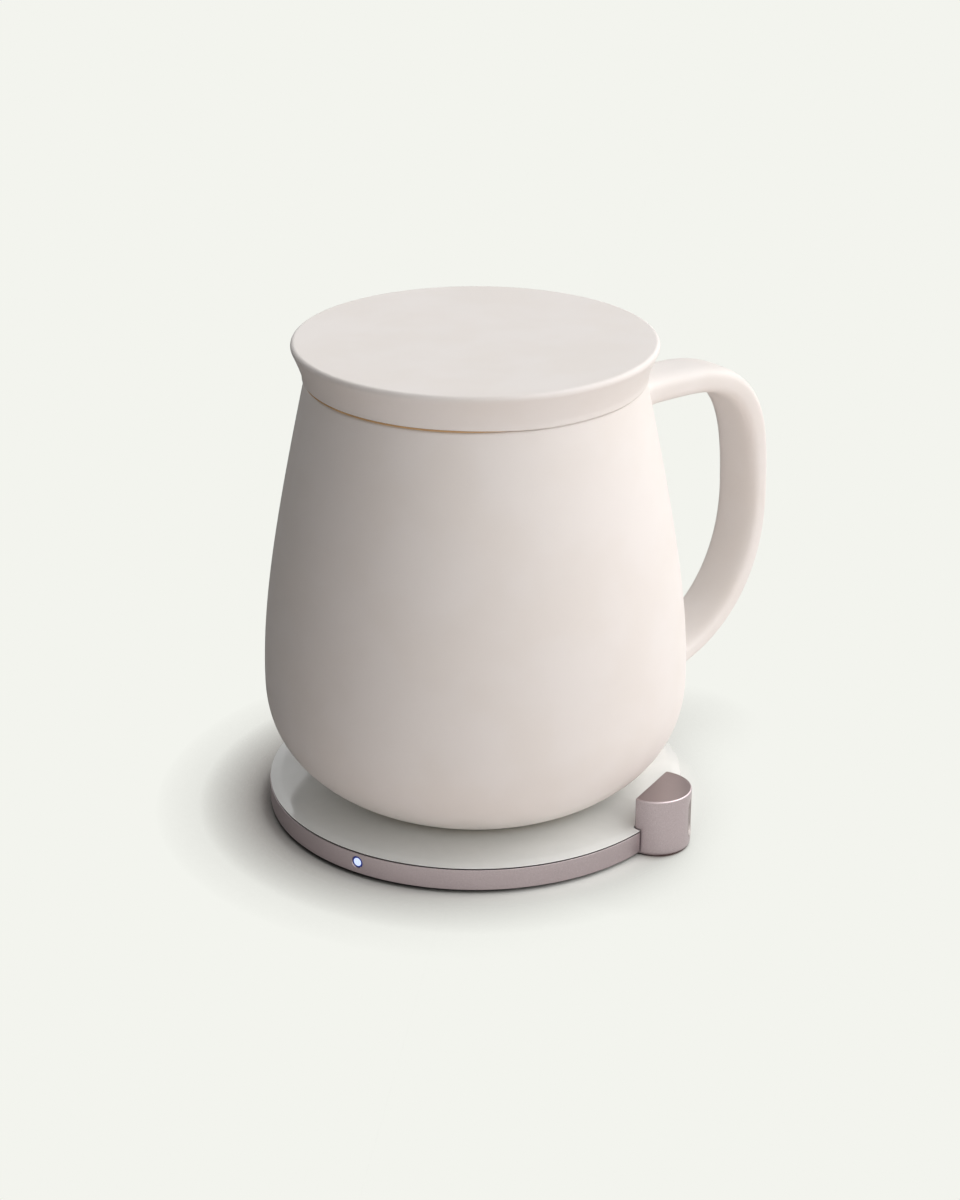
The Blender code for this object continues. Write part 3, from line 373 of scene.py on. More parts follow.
@dataclass(frozen=True)
class GlowingLens(Finish):
    """A clear acrylic lens with a lit diode behind it: pale in the middle and deep blue at the rim."""

    centre: tuple[float, float, float] = (0.0, 0.0, 0.0)
    turn: float = 0.0
    radius: float = 1.3 * MM
    core: str = "#C6D7FF"
    rim: str = "#101F66"
    strength: float = 0.82
    core_end: float = 0.68
    rim_start: float = 0.8

    def pattern(self, tree: Tree, shader: bpy.types.Node, coords: Socket) -> None:
        """Lights the lens by the distance from its axis, which the mapping turns onto Z.

        Args:
            tree: the material's node tree.
            shader: its Principled shader.
            coords: the point's object coordinates.
        """
        turn = (0.0, math.pi / 2, self.turn)
        inputs = {"Vector": coords, "Location": self.centre, "Rotation": turn}
        local = add_node(tree, "ShaderNodeMapping", inputs, vector_type="TEXTURE").outputs["Vector"]
        flat = add_node(
            tree, "ShaderNodeVectorMath", {0: local, 1: (1.0, 1.0, 0.0)}, operation="MULTIPLY"
        ).outputs["Vector"]
        distance = add_node(tree, "ShaderNodeVectorMath", {0: flat}, operation="LENGTH").outputs["Value"]
        share = ramp(tree, distance, self.core_end * self.radius, self.rim_start * self.radius, 0.0, 1.0)
        colour = mixed(tree, share, linear(self.core), linear(self.rim))
        tree.links.new(colour, shader.inputs["Emission Color"])
        tree.links.new(mixed(tree, share, linear(self.colour), linear(self.rim)), shader.inputs["Base Color"])
        shader.inputs["Emission Strength"].default_value = self.strength


@dataclass(frozen=True)
class Printed(Finish):
    """Glass cloth laminate under green solder mask, with copper tracks that show through it."""

    track: str = "#2F7A4C"
    pitch: float = 1.1 * MM
    track_range: tuple[float, float] = (0.05, 0.09)
    track_depth: float = 0.03 * MM

    def pattern(self, tree: Tree, shader: bpy.types.Node, coords: Socket) -> None:
        """Tracks between round-cornered islands of mask, as edges of large cells.

        Args:
            tree: the material's node tree.
            shader: its Principled shader.
            coords: the point's object coordinates.
        """
        inputs = {"Vector": coords, "Scale": 1 / self.pitch}
        cells = add_node(tree, "ShaderNodeTexVoronoi", inputs, feature="DISTANCE_TO_EDGE")
        edge = ramp(tree, cells.outputs["Distance"], *self.track_range, 1.0, 0.0)
        colour = mixed(tree, edge, linear(self.colour), linear(self.track))
        tree.links.new(colour, shader.inputs["Base Color"])
        relief(tree, shader, edge, self.track_depth)


@dataclass(frozen=True)
class Finishes:
    """Every finish of the object."""

    # Stoneware under a satin white glaze, cast and fired: soft broad highlights, no visible grain
    glaze: Glaze = Glaze(
        "satin_glazed_stoneware", "glazed_ceramic", "#E8E2DE", 0.55, ior=1.45, bare_below=7.6 * MM
    )
    # The same glaze on the lid and handle, which have no bare foot
    lid_glaze: Glaze = Glaze("satin_glazed_stoneware_lid", "glazed_ceramic", "#E8E2DE", 0.55, ior=1.45)
    # Tan silicone, compression moulded: matte, faintly dusty
    seal: Grained = Grained(
        "moulded_tan_silicone", "tan_silicone", "#C09A6C", 0.6, second="#D0B088", share=0.35, grain=0.3 * MM
    )
    # Aluminium, bead blasted and anodised mauve grey: a soft sheen that sparkles finely, with painted
    # shade darkening its faces that look straight up
    metal: Blasted = Blasted("bead_blasted_anodised_aluminium", "satin_metal", "#B9ABAE", 0.36, metallic=0.85)
    # Polycarbonate, injection moulded in a polished tool: glossy, cool white
    plate: Grained = Grained(
        "polished_white_polycarbonate", "white_plastic", "#E7E8E5", 0.14, ior=1.58, coat=0.4,
        second="#DFE1DD", share=0.25, grain=3.0 * MM, depth=0.0006 * MM, spread=0.02,
    )
    # Black silicone sheet, die cut: matte, with a dry bloom
    foot: Grained = Grained(
        "die_cut_black_silicone", "black_silicone", "#2A2727", 0.75, second="#3A3636", share=0.5,
        grain=0.35 * MM, depth=0.01 * MM,
    )
    # Glass filled nylon, spark eroded tool: dark and evenly grained
    nylon: Grained = Grained(
        "moulded_black_nylon", "dark_plastic", "#35322F", 0.55, second="#454140", share=0.5, grain=0.3 * MM,
        depth=0.012 * MM,
    )
    # Acrylic foam tape, die cut: open, dull cells
    foam: Grained = Grained(
        "die_cut_foam_tape", "dark_foam", "#2B2727", 0.9, second="#4A4444", share=0.6, grain=0.25 * MM,
        depth=0.03 * MM,
    )
    # Enamelled copper litz wire, wound and bonded: warm with a lacquer gloss
    copper: Grained = Grained(
        "enamelled_copper_wire", "copper", "#B8683E", 0.32, metallic=1.0, coat=0.5, second="#8E4A2A",
        share=0.5, grain=0.2 * MM, depth=0.01 * MM,
    )
    # Sintered manganese zinc ferrite, ground flat: dark grey with fine pores
    ferrite: Grained = Grained(
        "sintered_ferrite", "ferrite", "#3A3A3C", 0.6, metallic=0.2, second="#505054", share=0.5,
        grain=0.15 * MM, depth=0.006 * MM,
    )
    # Glass cloth laminate with green solder mask, screen printed
    board: Printed = Printed("solder_masked_laminate", "green_board", "#1F5B3A", 0.38, coat=0.3)
    # Epoxy moulding compound, transfer moulded: near black, slightly rough
    chip: Grained = Grained(
        "moulded_epoxy_package", "chip_plastic", "#1B1B1D", 0.5, second="#2A2A2C", share=0.5, grain=0.12 * MM,
        depth=0.006 * MM,
    )
    # Barium titanate, sintered: biscuit brown
    capacitor: Grained = Grained(
        "sintered_capacitor_ceramic", "capacitor_ceramic", "#8A6F4E", 0.45, second="#775E40", share=0.5,
        grain=0.2 * MM,
    )
    # Translucent polyamide lamp body, moulded
    diode: Grained = Grained(
        "moulded_diode_package", "led_plastic", "#F2F1E8", 0.4, second="#E2E1D6", share=0.5, grain=0.2 * MM
    )
    # Stainless steel, deep drawn and tumbled: bright with faint grey drifts
    steel: Grained = Grained(
        "drawn_stainless_steel", "bright_steel", "#B9BBBE", 0.26, metallic=1.0, second="#A2A4A8", share=0.4,
        grain=0.6 * MM, depth=0.001 * MM,
    )
    # Aluminium, turned and clear anodised: a pale, even edge round the inlet
    trim: Grained = Grained(
        "turned_aluminium_trim", "satin_metal", "#A9A09E", 0.5, metallic=0.5, second="#9C9391", share=0.4,
        grain=0.4 * MM, depth=0.001 * MM,
    )
    # Hard gold over nickel on the inlet's contacts
    contact: Grained = Grained(
        "gold_plated_contact", "copper", "#D9AE5A", 0.25, metallic=1.0, second="#C79A48", share=0.4,
        grain=0.3 * MM, depth=0.0005 * MM,
    )
    # Polyimide film with copper inside: amber and slightly glossy
    film: Grained = Grained(
        "polyimide_film", "flex_film", "#B07A2C", 0.35, coat=0.3, second="#8F5F1E", share=0.5, grain=0.5 * MM
    )
    # Sintered alumina, fired and ground: bone white and matte
    alumina: Grained = Grained(
        "sintered_alumina", "alumina", "#D9D4C8", 0.55, second="#C9C3B4", share=0.5, grain=0.25 * MM
    )
    # Silica fibre, needled into felt: white and deeply fibrous
    felt: Grained = Grained(
        "needled_silica_felt", "silica_felt", "#E6E2D8", 0.95, second="#C8C2B4", share=0.6, grain=0.4 * MM,
        depth=0.12 * MM,
    )


FINISH = Finishes()


# Shapes


def unit(vector: Array) -> Array:
    """The vector divided by its length."""
    return vector / np.linalg.norm(vector)


def rounded(corners: Sequence[tuple[float, ...]], closed: bool = False, steps: int = 8) -> Array:
    """A flat line through corners, each rounded by its own radius.

    A corner's arc touches its two sides at radius / tan(half the corner's angle). Its points are its
    centre plus the two touching arms, mixed by sin((1 - t) swing) and sin(t swing) over sin(swing).
    One more point lies just outside each end of an arc, so that shading stays even on the flats.

    Args:
        corners: (a, b) or (a, b, radius) for each corner.
        closed: whether the last corner joins the first.
        steps: pieces that each arc has.

    Returns:
        Points as an (n, 2) array.
    """
    knots = np.array([corner[:2] for corner in corners], float)
    radii = [corner[2] if len(corner) > 2 else 0.0 for corner in corners]
    count = len(knots)
    if not closed:
        radii[0] = radii[-1] = 0.0
    sides = np.roll(knots, -1, axis=0) - knots
    lengths = np.linalg.norm(sides, axis=1)
    halves, reaches = [], []
    for i, radius in enumerate(radii):
        turn = float(np.clip(-unit(sides[i - 1]) @ unit(sides[i]), -1, 1)) if radius else 0.0
        halves.append(math.acos(turn) / 2)
        reaches.append(radius / math.tan(halves[i]) if radius else 0.0)
    spare = [max(lengths[i] - reaches[i] - reaches[(i + 1) % count], 0.0) for i in range(count)]
    runs = []
    for i, radius in enumerate(radii):
        if radius == 0:
            runs.append(knots[i][None])
            continue
        a, b = -unit(sides[i - 1]), unit(sides[i])
        centre = knots[i] + unit(a + b) * radius / math.sin(halves[i])
        swing = math.pi - 2 * halves[i]
        t = np.linspace(0, 1, steps + 1)[:, None]
        first, last = knots[i] + a * reaches[i] - centre, knots[i] + b * reaches[i] - centre
        arc = centre + (first * np.sin((1 - t) * swing) + last * np.sin(t * swing)) / math.sin(swing)
        before = knots[i] + a * (reaches[i] + ARC_EASE * min(radius, spare[i - 1]))
        after = knots[i] + b * (reaches[i] + ARC_EASE * min(radius, spare[i]))
        runs += [before[None], arc, after[None]]
    return np.concatenate(runs)


def turned(profile: Array, sides: int = ROUND_SIDES) -> Array:
    """A profile carried round Z: x = radius cos(angle), y = radius sin(angle), z = height.

    Args:
        profile: (radius, height) points.
        sides: steps round the axis.

    Returns:
        A (points, sides, 3) grid.
    """
    angle = np.arange(sides) * (2 * math.pi / sides)
    radius, height = profile[:, :1], profile[:, 1:]
    flat = np.ones_like(angle)
    return np.stack([radius * np.cos(angle), radius * np.sin(angle), height * flat], axis=-1)


def stacked(outline: Callable[[float], Array], rows: Array) -> Array:
    """Outlines laid over each other: each row is the outline moved in by its inset, at its own level.

    Args:
        outline: gives the (n, 2) outline for an inset.
        rows: (inset, level) points.

    Returns:
        A (rows, n, 3) grid.
    """
    flat = np.stack([outline(float(inset)) for inset in rows[:, 0]])
    level = np.broadcast_to(rows[:, 1][:, None, None], (*flat.shape[:2], 1))
    return np.concatenate([flat, level], axis=-1)


def capped(grid: Array) -> Array:
    """The grid with its first and last rows drawn together to their middles."""
    ends = [np.broadcast_to(row.mean(axis=0), row.shape)[None] for row in (grid[0], grid[-1])]
    return np.concatenate([ends[0], grid, ends[1]])


def placed(points: Array, origin: Array, axes: Array) -> Array:
    """Points from a local frame in the world: origin + x axes[0] + y axes[1] + z axes[2]."""
    return points @ axes + origin


def polar(distance: float | Array, side: float | Array, turn: float) -> Array:
    """The (x, y) that lies distance along and side across a direction turned from +X."""
    cosine, sine = math.cos(turn), math.sin(turn)
    return np.array([distance * cosine - side * sine, distance * sine + side * cosine])


def facing(turn: float) -> Array:
    """The local frame of a level axis that looks out at a turn: across, up, and along the axis."""
    cosine, sine = math.cos(turn), math.sin(turn)
    return np.array([(-sine, cosine, 0.0), (0.0, 0.0, 1.0), (cosine, sine, 0.0)])


def quads(rows: int, columns: int, ring: bool = False) -> Array:
    """The faces of a grid whose columns close round.

    The face at row i and column j joins the points (i, j), (i, j + 1), (i + 1, j + 1), (i + 1, j).

    Args:
        rows: the grid's rows.
        columns: the grid's columns.
        ring: whether the last row also joins the first.

    Returns:
        The numbers of each face's points, as an (n, 4) array.
    """
    i, j = np.meshgrid(np.arange(rows if ring else rows - 1), np.arange(columns), indexing="ij")
    low, high, after = i * columns, (i + 1) % rows * columns, (j + 1) % columns
    return np.stack([low + j, low + after, high + after, high + j], axis=-1).reshape(-1, 4)


def grid_piece(name: str, grid: Array, ring: bool = False) -> Piece:
    """An object from a grid whose columns close round, with its poles and seams merged.

    Args:
        name: the piece's name.
        grid: a (rows, columns, 3) array in metres.
        ring: whether the last row also joins the first.

    Returns:
        The object, with smooth faces that point outwards.
    """
    return mesh_piece(name, grid.reshape(-1, 3), quads(*grid.shape[:2], ring))


def several(name: str, grids: Sequence[Array]) -> Piece:
    """One object from grids that don't touch, each with closed columns.

    Args:
        name: the piece's name.
        grids: grids of the same shape.

    Returns:
        The object.
    """
    rows, columns = grids[0].shape[:2]
    steps = np.arange(len(grids))[:, None, None] * (rows * columns)
    faces = (quads(rows, columns) + steps).reshape(-1, 4)
    return mesh_piece(name, np.concatenate(grids).reshape(-1, 3), faces)


def clean(mesh: bpy.types.Mesh, outwards: bool = False) -> None:
    """Merges a mesh's doubles and drops the faces that have no area.

    Args:
        mesh: the mesh to clean.
        outwards: whether its faces are also turned outwards.
    """
    shape = bmesh.new()
    shape.from_mesh(mesh)
    bmesh.ops.remove_doubles(shape, verts=shape.verts, dist=MERGE_DISTANCE)
    bmesh.ops.dissolve_degenerate(shape, edges=shape.edges, dist=MERGE_DISTANCE)
    if outwards:
        bmesh.ops.recalc_face_normals(shape, faces=shape.faces)
    shape.to_mesh(mesh)
    shape.free()


def mesh_piece(name: str, points: Array, faces: Array) -> Piece:
    """An object from points and faces, merged, with its normals turned outwards.

    Args:
        name: the piece's name.
        points: an (n, 3) array in metres.
        faces: the numbers of each face's points.

    Returns:
        The object, in the scene.
    """
    mesh = bpy.data.meshes.new(name)
    mesh.from_pydata(points.tolist(), [], faces.tolist())
    clean(mesh, outwards=True)
    piece = bpy.data.objects.new(name, mesh)
    bpy.context.scene.collection.objects.link(piece)
    return piece


def carve(piece: Piece, cutter: Piece, carving: Carving = Carving.CUT) -> None:
    """Cuts a cutter out of a piece, or joins it on, for good, and removes the cutter.

    Args:
        piece: the piece that is changed.
        cutter: the piece that is cut out or joined on.
        carving: which of the two.
    """
    boolean = piece.modifiers.new("carve", "BOOLEAN")
    boolean.operation = carving.value
    boolean.solver = "EXACT"
    boolean.object = cutter
    depsgraph = bpy.context.evaluated_depsgraph_get()
    mesh = bpy.data.meshes.new_from_object(piece.evaluated_get(depsgraph))
    piece.modifiers.clear()
    clean(mesh)
    old, piece.data = piece.data, mesh
    bpy.data.meshes.remove(old)
    bpy.data.objects.remove(cutter)


def dress(piece: Piece, finish: Finish, body: Body, *nodes: str) -> Piece:
    """Gives a finished piece its material, smooth shading and body, and hides the CAD nodes it stands for.

    Args:
        piece: the piece.
        finish: its finish, which also names its slot.
        body: the body it rides on.
        *nodes: the CAD nodes that it replaces.

    Returns:
        The piece.
    """
    piece.data.materials.clear()
    piece.data.materials.append(finish.build())
    piece.data.shade_smooth()
    piece.data.set_sharp_from_angle(angle=SHARP_ANGLE)
    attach(piece, body.value)
    if nodes:
        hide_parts(*nodes)
    LOG.info("%s: %d faces, rides on %s", piece.name, len(piece.data.polygons), body.value)
    return piece


def redress(finish: Finish, *nodes: str) -> None:
    """Gives carried-over CAD nodes a material.

    Args:
        finish: the finish.
        *nodes: the nodes' names.
    """
    for name in nodes:
        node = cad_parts[name]
        if not node.material_slots:
            node.data.materials.append(finish.build())
        for place in node.material_slots:
            place.material = finish.build()
        LOG.info("%s: carried over in %s", name, finish.name)


def winding(inner: float, outer: float, middle: float, wire: float, tall: float, turns: int) -> Array:
    """A flat spiral of wire: radius = inner + (outer - inner) share, angle = 2 pi turns share.

    The wire's section is an ellipse wire wide and tall high, and each end is drawn to a point.

    Args:
        inner: radius of the first turn's middle line.
        outer: radius of the last turn's middle line.
        middle: height of the wire's middle.
        wire: the wire's width.
        tall: the wire's height.
        turns: number of turns.

    Returns:
        A closed grid.
    """
    share = np.linspace(0, 1, turns * TURN_STEPS + 1)[:, None]
    angle = 2 * math.pi * turns * share
    section = np.arange(WIRE_SIDES) * (2 * math.pi / WIRE_SIDES)
    radius = inner + (outer - inner) * share + wire / 2 * np.cos(section)
    height = middle + tall / 2 * np.sin(section) + 0 * share
    return capped(np.stack([radius * np.cos(angle), radius * np.sin(angle), height], axis=-1))


# Sub-assemblies


@dataclass(frozen=True)
class PodShape:
    """The outline of the round-nosed pod that holds the power inlet."""

    turn: float = math.radians(-67.5)
    face: float = 45.6 * MM
    centre: float = 47.1 * MM
    radius: float = 7.9 * MM
    corner: float = 0.5 * MM
    bottom: float = 0.1 * MM
    top: float = 13.85 * MM
    least_corner: float = 0.05 * MM
    arc_steps: int = 96
    corner_steps: int = 8
    face_steps: int = 12

    def outline(self, inset: float) -> Array:
        """The outline moved inwards by inset.

        It is an arc about the nose's centre, a flat face, and a small arc round each of the two corners,
        whose centre is corner inside both the nose's arc and the face.

        Args:
            inset: how far inwards, or outwards where it is below zero.

        Returns:
            The (n, 2) outline, counterclockwise from above.
        """
        radius, face = self.radius - inset, self.face + inset
        corner = max(self.corner - inset, self.least_corner)
        set_in = face + corner - self.centre
        side = math.sqrt((radius - corner) ** 2 - set_in**2)
        turn = math.atan2(side, set_in)
        nose = np.linspace(-turn, turn, self.arc_steps)
        bend = np.linspace(turn, math.pi, self.corner_steps)[1:]
        straight = np.linspace(side, -side, self.face_steps)[1:-1]
        along = np.concatenate([
            self.centre + radius * np.cos(nose),
            face + corner + corner * np.cos(bend),
            np.full_like(straight, face),
            face + corner + corner * np.cos(-bend[::-1]),
        ])
        across = np.concatenate([
            radius * np.sin(nose),
            side + corner * np.sin(bend),
            straight,
            -side - corner * np.sin(bend[::-1]),
        ])
        return polar(along, across, self.turn).T

    def block(self, name: str, inset: float, low: float, high: float) -> Piece:
        """A straight block of the outline from low to high."""
        rows = np.array([(inset, low), (inset, high)])
        return grid_piece(name, capped(stacked(self.outline, rows)))

    def slab(self, name: str, start: float, end: float, width: float, low: float, high: float) -> Piece:
        """A rectangular slab along the pod's direction.

        Args:
            name: the piece's name.
            start: where it starts, from Z.
            end: where it ends, from Z.
            width: its width.
            low: its lowest level.
            high: its highest level.

        Returns:
            The slab.
        """
        corners = ((start, -width / 2), (end, -width / 2), (end, width / 2), (start, width / 2))
        flat = np.array([polar(a, b, self.turn) for a, b in corners])
        rows = np.array([(0.0, low), (0.0, high)])
        return grid_piece(name, capped(stacked(lambda inset: flat, rows)))


@dataclass(frozen=True)
class LensShape:
    """The indicator's stepped lens, which looks out through the ring."""

    turn: float = math.radians(-160.4)
    height: float = 3.7 * MM
    start: float = 42.3 * MM
    neck: float = 46.6 * MM
    end: float = 47.9 * MM
    rod: float = 0.8 * MM
    head: float = 1.3 * MM
    gap: float = 0.09 * MM
    dome: float = 0.1 * MM
    dome_edge: float = 0.15 * MM
    dome_steps: int = 8
    chamfer: float = 0.12 * MM
    step_room: float = 0.2 * MM

    def solid(self, name: str, profile: Array) -> Piece:
        """A piece turned about the lens's axis from (radius, distance from Z) points."""
        grid = turned(profile, SMALL_SIDES)
        return grid_piece(name, placed(grid, np.array([0.0, 0.0, self.height]), facing(self.turn)))

    def lens(self) -> Piece:
        """The rod and the head, whose face is a shallow dome: rise = dome (1 - (r / head)^2).

        Returns:
            The lens.
        """
        radius = np.linspace(self.head - self.dome_edge, 0, self.dome_steps)
        dome = np.stack([radius, self.end - self.dome * (radius / self.head) ** 2], axis=-1)
        body = rounded([
            (0, self.start), (self.rod, self.start, EDGE.broken), (self.rod, self.neck, EDGE.broken),
            (self.head, self.neck, EDGE.broken), (self.head, self.end - self.dome, EDGE.eased),
            tuple(dome[0]),
        ], steps=4)
        return self.solid("indicator_window", np.concatenate([body, dome[1:]]))

    def hole(self, skin: float) -> Piece:
        """The stepped hole round it, with a small chamfer where it breaks the ring's skin.

        Args:
            skin: the ring's outer radius.

        Returns:
            The cutter.
        """
        rod, head, chamfer = self.rod + self.gap, self.head + self.gap, self.chamfer
        start, neck, end = self.start - OVERRUN, self.neck - self.step_room, skin + OVERRUN
        profile = [
            (0, start), (rod, start), (rod, neck), (head, neck), (head, skin - chamfer),
            (head + chamfer, skin), (head + chamfer, end), (0, end),
        ]
        return self.solid("lens_hole", np.array(profile))


@dataclass(frozen=True)
class Coaster:
    """The charging coaster: ring, plate, underside, charging coil, board and indicator."""

    pod: PodShape = PodShape()
    lens: LensShape = LensShape()
    radius: float = 48.0 * MM
    bore: float = 46.4 * MM
    rebate: float = 47.65 * MM
    bottom: float = 0.98 * MM
    lip: float = 5.92 * MM
    ledge_inner: float = 44.8 * MM
    ledge_low: float = 3.85 * MM
    ledge_top: float = 4.75 * MM
    plate_radius: float = 47.3 * MM
    lap_radius: float = 47.97 * MM
    lap_low: float = 6.22 * MM
    lap_slope: float = 0.1 * MM
    plate_low: float = 5.45 * MM
    plate_top: float = 6.65 * MM
    plate_edge: float = 0.08 * MM
    plate_fall: float = 0.28 * MM
    fall_width: float = 2.2 * MM
    fall_bend: float = 10 * MM
    # The gasket reaches almost to the ring's edge: its dark foam is partly a real seal, partly painted shade
    # in the gap
    gasket_radius: float = 47.8 * MM
    gasket_gap: float = 0.02 * MM
    pad_radius: float = 45.9 * MM
    pad_top: float = 0.9 * MM
    groove: float = 42.0 * MM
    groove_width: float = 0.8 * MM
    groove_depth: float = 0.25 * MM
    cut_gap: float = 0.3 * MM
    ring_gap: float = 0.45 * MM
    gate_start: float = 39.6 * MM
    gate_end: float = 51.6 * MM
    gate_width: float = 12.6 * MM
    boss_radius: float = 2.0 * MM
    boss_distance: float = 44.6 * MM
    boss_low: float = 2.3 * MM
    boss_high: float = 4.3 * MM
    boss_sides: int = 30
    boss_turns: tuple[float, ...] = (45.0, 135.0, 225.0, 315.0)
    screw_radius: float = 0.85 * MM
    screw_top: float = 3.75 * MM
    screw_sides: int = 22
    coil_turns: int = 13
    coil_inner: float = 8.5 * MM
    coil_outer: float = 23.5 * MM
    coil_middle: float = 4.3 * MM
    coil_tall: float = 0.98 * MM

    def notch(self, piece: Piece, gap: float) -> None:
        """Cuts the room for the pod out of a piece, with a gap round the pod."""
        carve(piece, self.pod.block("pod_room", -gap, -OVERRUN, self.pod.top))

    def posts(self, name: str, radius: float, low: float, high: float, sides: int) -> Piece:
        """Four upright cylinders, one at each base screw.

        Args:
            name: the piece's name.
            radius: each cylinder's radius.
            low: its lowest level.
            high: its highest level.
            sides: its flat sides.

        Returns:
            One piece that holds all four.
        """
        column = turned(np.array([(0, low), (radius, low), (radius, high), (0, high)]), sides)
        turns = self.pod.turn + np.radians(self.boss_turns)
        centres = [np.array([*polar(self.boss_distance, 0, float(turn)), 0]) for turn in turns]
        return several(name, [column + centre for centre in centres])

    def ring(self) -> None:
        """The metal ring: a closed section turned, bosses joined on, pod, gate and lens holes cut."""
        section = rounded([
            (self.bore, self.bottom, EDGE.eased), (self.radius, self.bottom, EDGE.turned),
            (self.radius, self.lip, EDGE.clean), (self.rebate, self.lip, EDGE.crisp),
            (self.rebate, self.ledge_top), (self.ledge_inner, self.ledge_top),
            (self.ledge_inner, self.ledge_low), (self.bore, self.ledge_low),
        ], closed=True, steps=5)
        piece = grid_piece("coaster_ring_wall", turned(section), ring=True)
        bosses = self.posts("bosses", self.boss_radius, self.boss_low, self.boss_high, self.boss_sides)
        carve(piece, bosses, Carving.JOIN)
        carve(piece, self.posts("screw_holes", self.screw_radius, 0, self.screw_top, self.screw_sides))
        self.notch(piece, self.ring_gap)
        gate = self.pod.slab("gate", self.gate_start, self.gate_end, self.gate_width, -OVERRUN, self.pod.top)
        carve(piece, gate)
        carve(piece, self.lens.hole(self.radius))
        dress(piece, FINISH.metal, Body.COASTER, "coaster_ring")

    def plate(self) -> None:
        """The glossy plate, whose edge laps over the ring's lip, with the pod's notch."""
        edge_top = self.plate_top - self.plate_fall
        profile = rounded([
            (0, self.plate_low), (self.plate_radius, self.plate_low, EDGE.dulled),
            (self.plate_radius, self.lap_low, EDGE.cut),
            (self.lap_radius - self.lap_slope, self.lap_low, EDGE.keen),
            (self.lap_radius, edge_top, self.plate_edge),
            (self.lap_radius - self.fall_width, self.plate_top, self.fall_bend), (0, self.plate_top),
        ])
        piece = grid_piece("charging_surface", turned(profile))
        self.notch(piece, self.cut_gap)
        dress(piece, FINISH.plate, Body.COASTER, "charging_plate")

    def gasket(self) -> None:
        """The thin dark gasket between the plate's lap and the ring's lip. Its dark edge reaches almost to
        the mouth of the gap, so that it also serves as painted shade there.
        """
        inner, low, high = (
            self.plate_radius + self.gasket_gap, self.lip + self.gasket_gap, self.lap_low - self.gasket_gap
        )
        section = rounded([
            (inner, low, EDGE.cut), (self.gasket_radius, low, EDGE.cut),
            (self.gasket_radius, high, EDGE.cut), (inner, high, EDGE.cut),
        ], closed=True, steps=3)
        piece = grid_piece("plate_gasket_gap_shade", turned(section), ring=True)
        self.notch(piece, self.cut_gap)
        dress(piece, FINISH.foam, Body.COASTER)

    def underside(self) -> None:
        """The foot pad, with a shallow groove near its edge."""
        groove, depth, far = self.groove, self.groove_depth, self.groove + self.groove_width
        profile = rounded([
            (0, 0), (groove, 0, EDGE.clean), (groove, depth, EDGE.clean), (far, depth, EDGE.clean),
            (far, 0, EDGE.clean), (self.pad_radius, 0, EDGE.turned),
            (self.pad_radius, self.pad_top, EDGE.clean), (0, self.pad_top),
        ], steps=4)
        pad = grid_piece("foot_sheet", turned(profile))
        self.notch(pad, self.cut_gap)
        dress(pad, FINISH.foot, Body.COASTER, "foot_pad")

    def indicator(self) -> None:
        """The lens, lit from behind."""
        lens = self.lens
        centre = (*(float(c) for c in polar(lens.end, 0, lens.turn)), lens.height)
        glow = GlowingLens(
            "lit_acrylic_lens", "clear_lens", "#C9D6FF", 0.12, ior=1.49, centre=centre, turn=lens.turn,
            radius=lens.head,
        )
        dress(lens.lens(), glow, Body.COASTER, "indicator_lens")

    def electronics(self) -> None:
        """The charging coil as a winding of litz wire, and finishes for what stays as the CAD has it."""
        wire = (self.coil_outer - self.coil_inner) / self.coil_turns
        inner, outer = self.coil_inner + wire / 2, self.coil_outer - wire / 2
        grid = winding(inner, outer, self.coil_middle, wire * WIRE_FILL, self.coil_tall, self.coil_turns - 1)
        dress(grid_piece("charging_winding", grid), FINISH.copper, Body.COASTER, "charging_coil")
        redress(FINISH.nylon, "coil_tray", "base_plate")
        redress(FINISH.foam, "plate_adhesive")
        redress(FINISH.ferrite, "coil_ferrite", "power_inductor")
        redress(FINISH.chip, "coil_sensor", "controller_chip", "driver_chip", "flex_connector")
        redress(FINISH.board, "charger_board")
        redress(FINISH.capacitor, *(f"tuning_capacitor_{i}" for i in (1, 2, 3)))
        redress(FINISH.diode, "indicator_led")
        redress(FINISH.film, "socket_flex")
        redress(FINISH.steel, *(f"base_screw_{i}" for i in (1, 2, 3, 4)), "pod_screw_1", "pod_screw_2")

    def build(self) -> None:
        """Builds and dresses the whole sub-assembly."""
        self.ring()
        self.plate()
        self.gasket()
        self.underside()
        self.indicator()
        self.electronics()


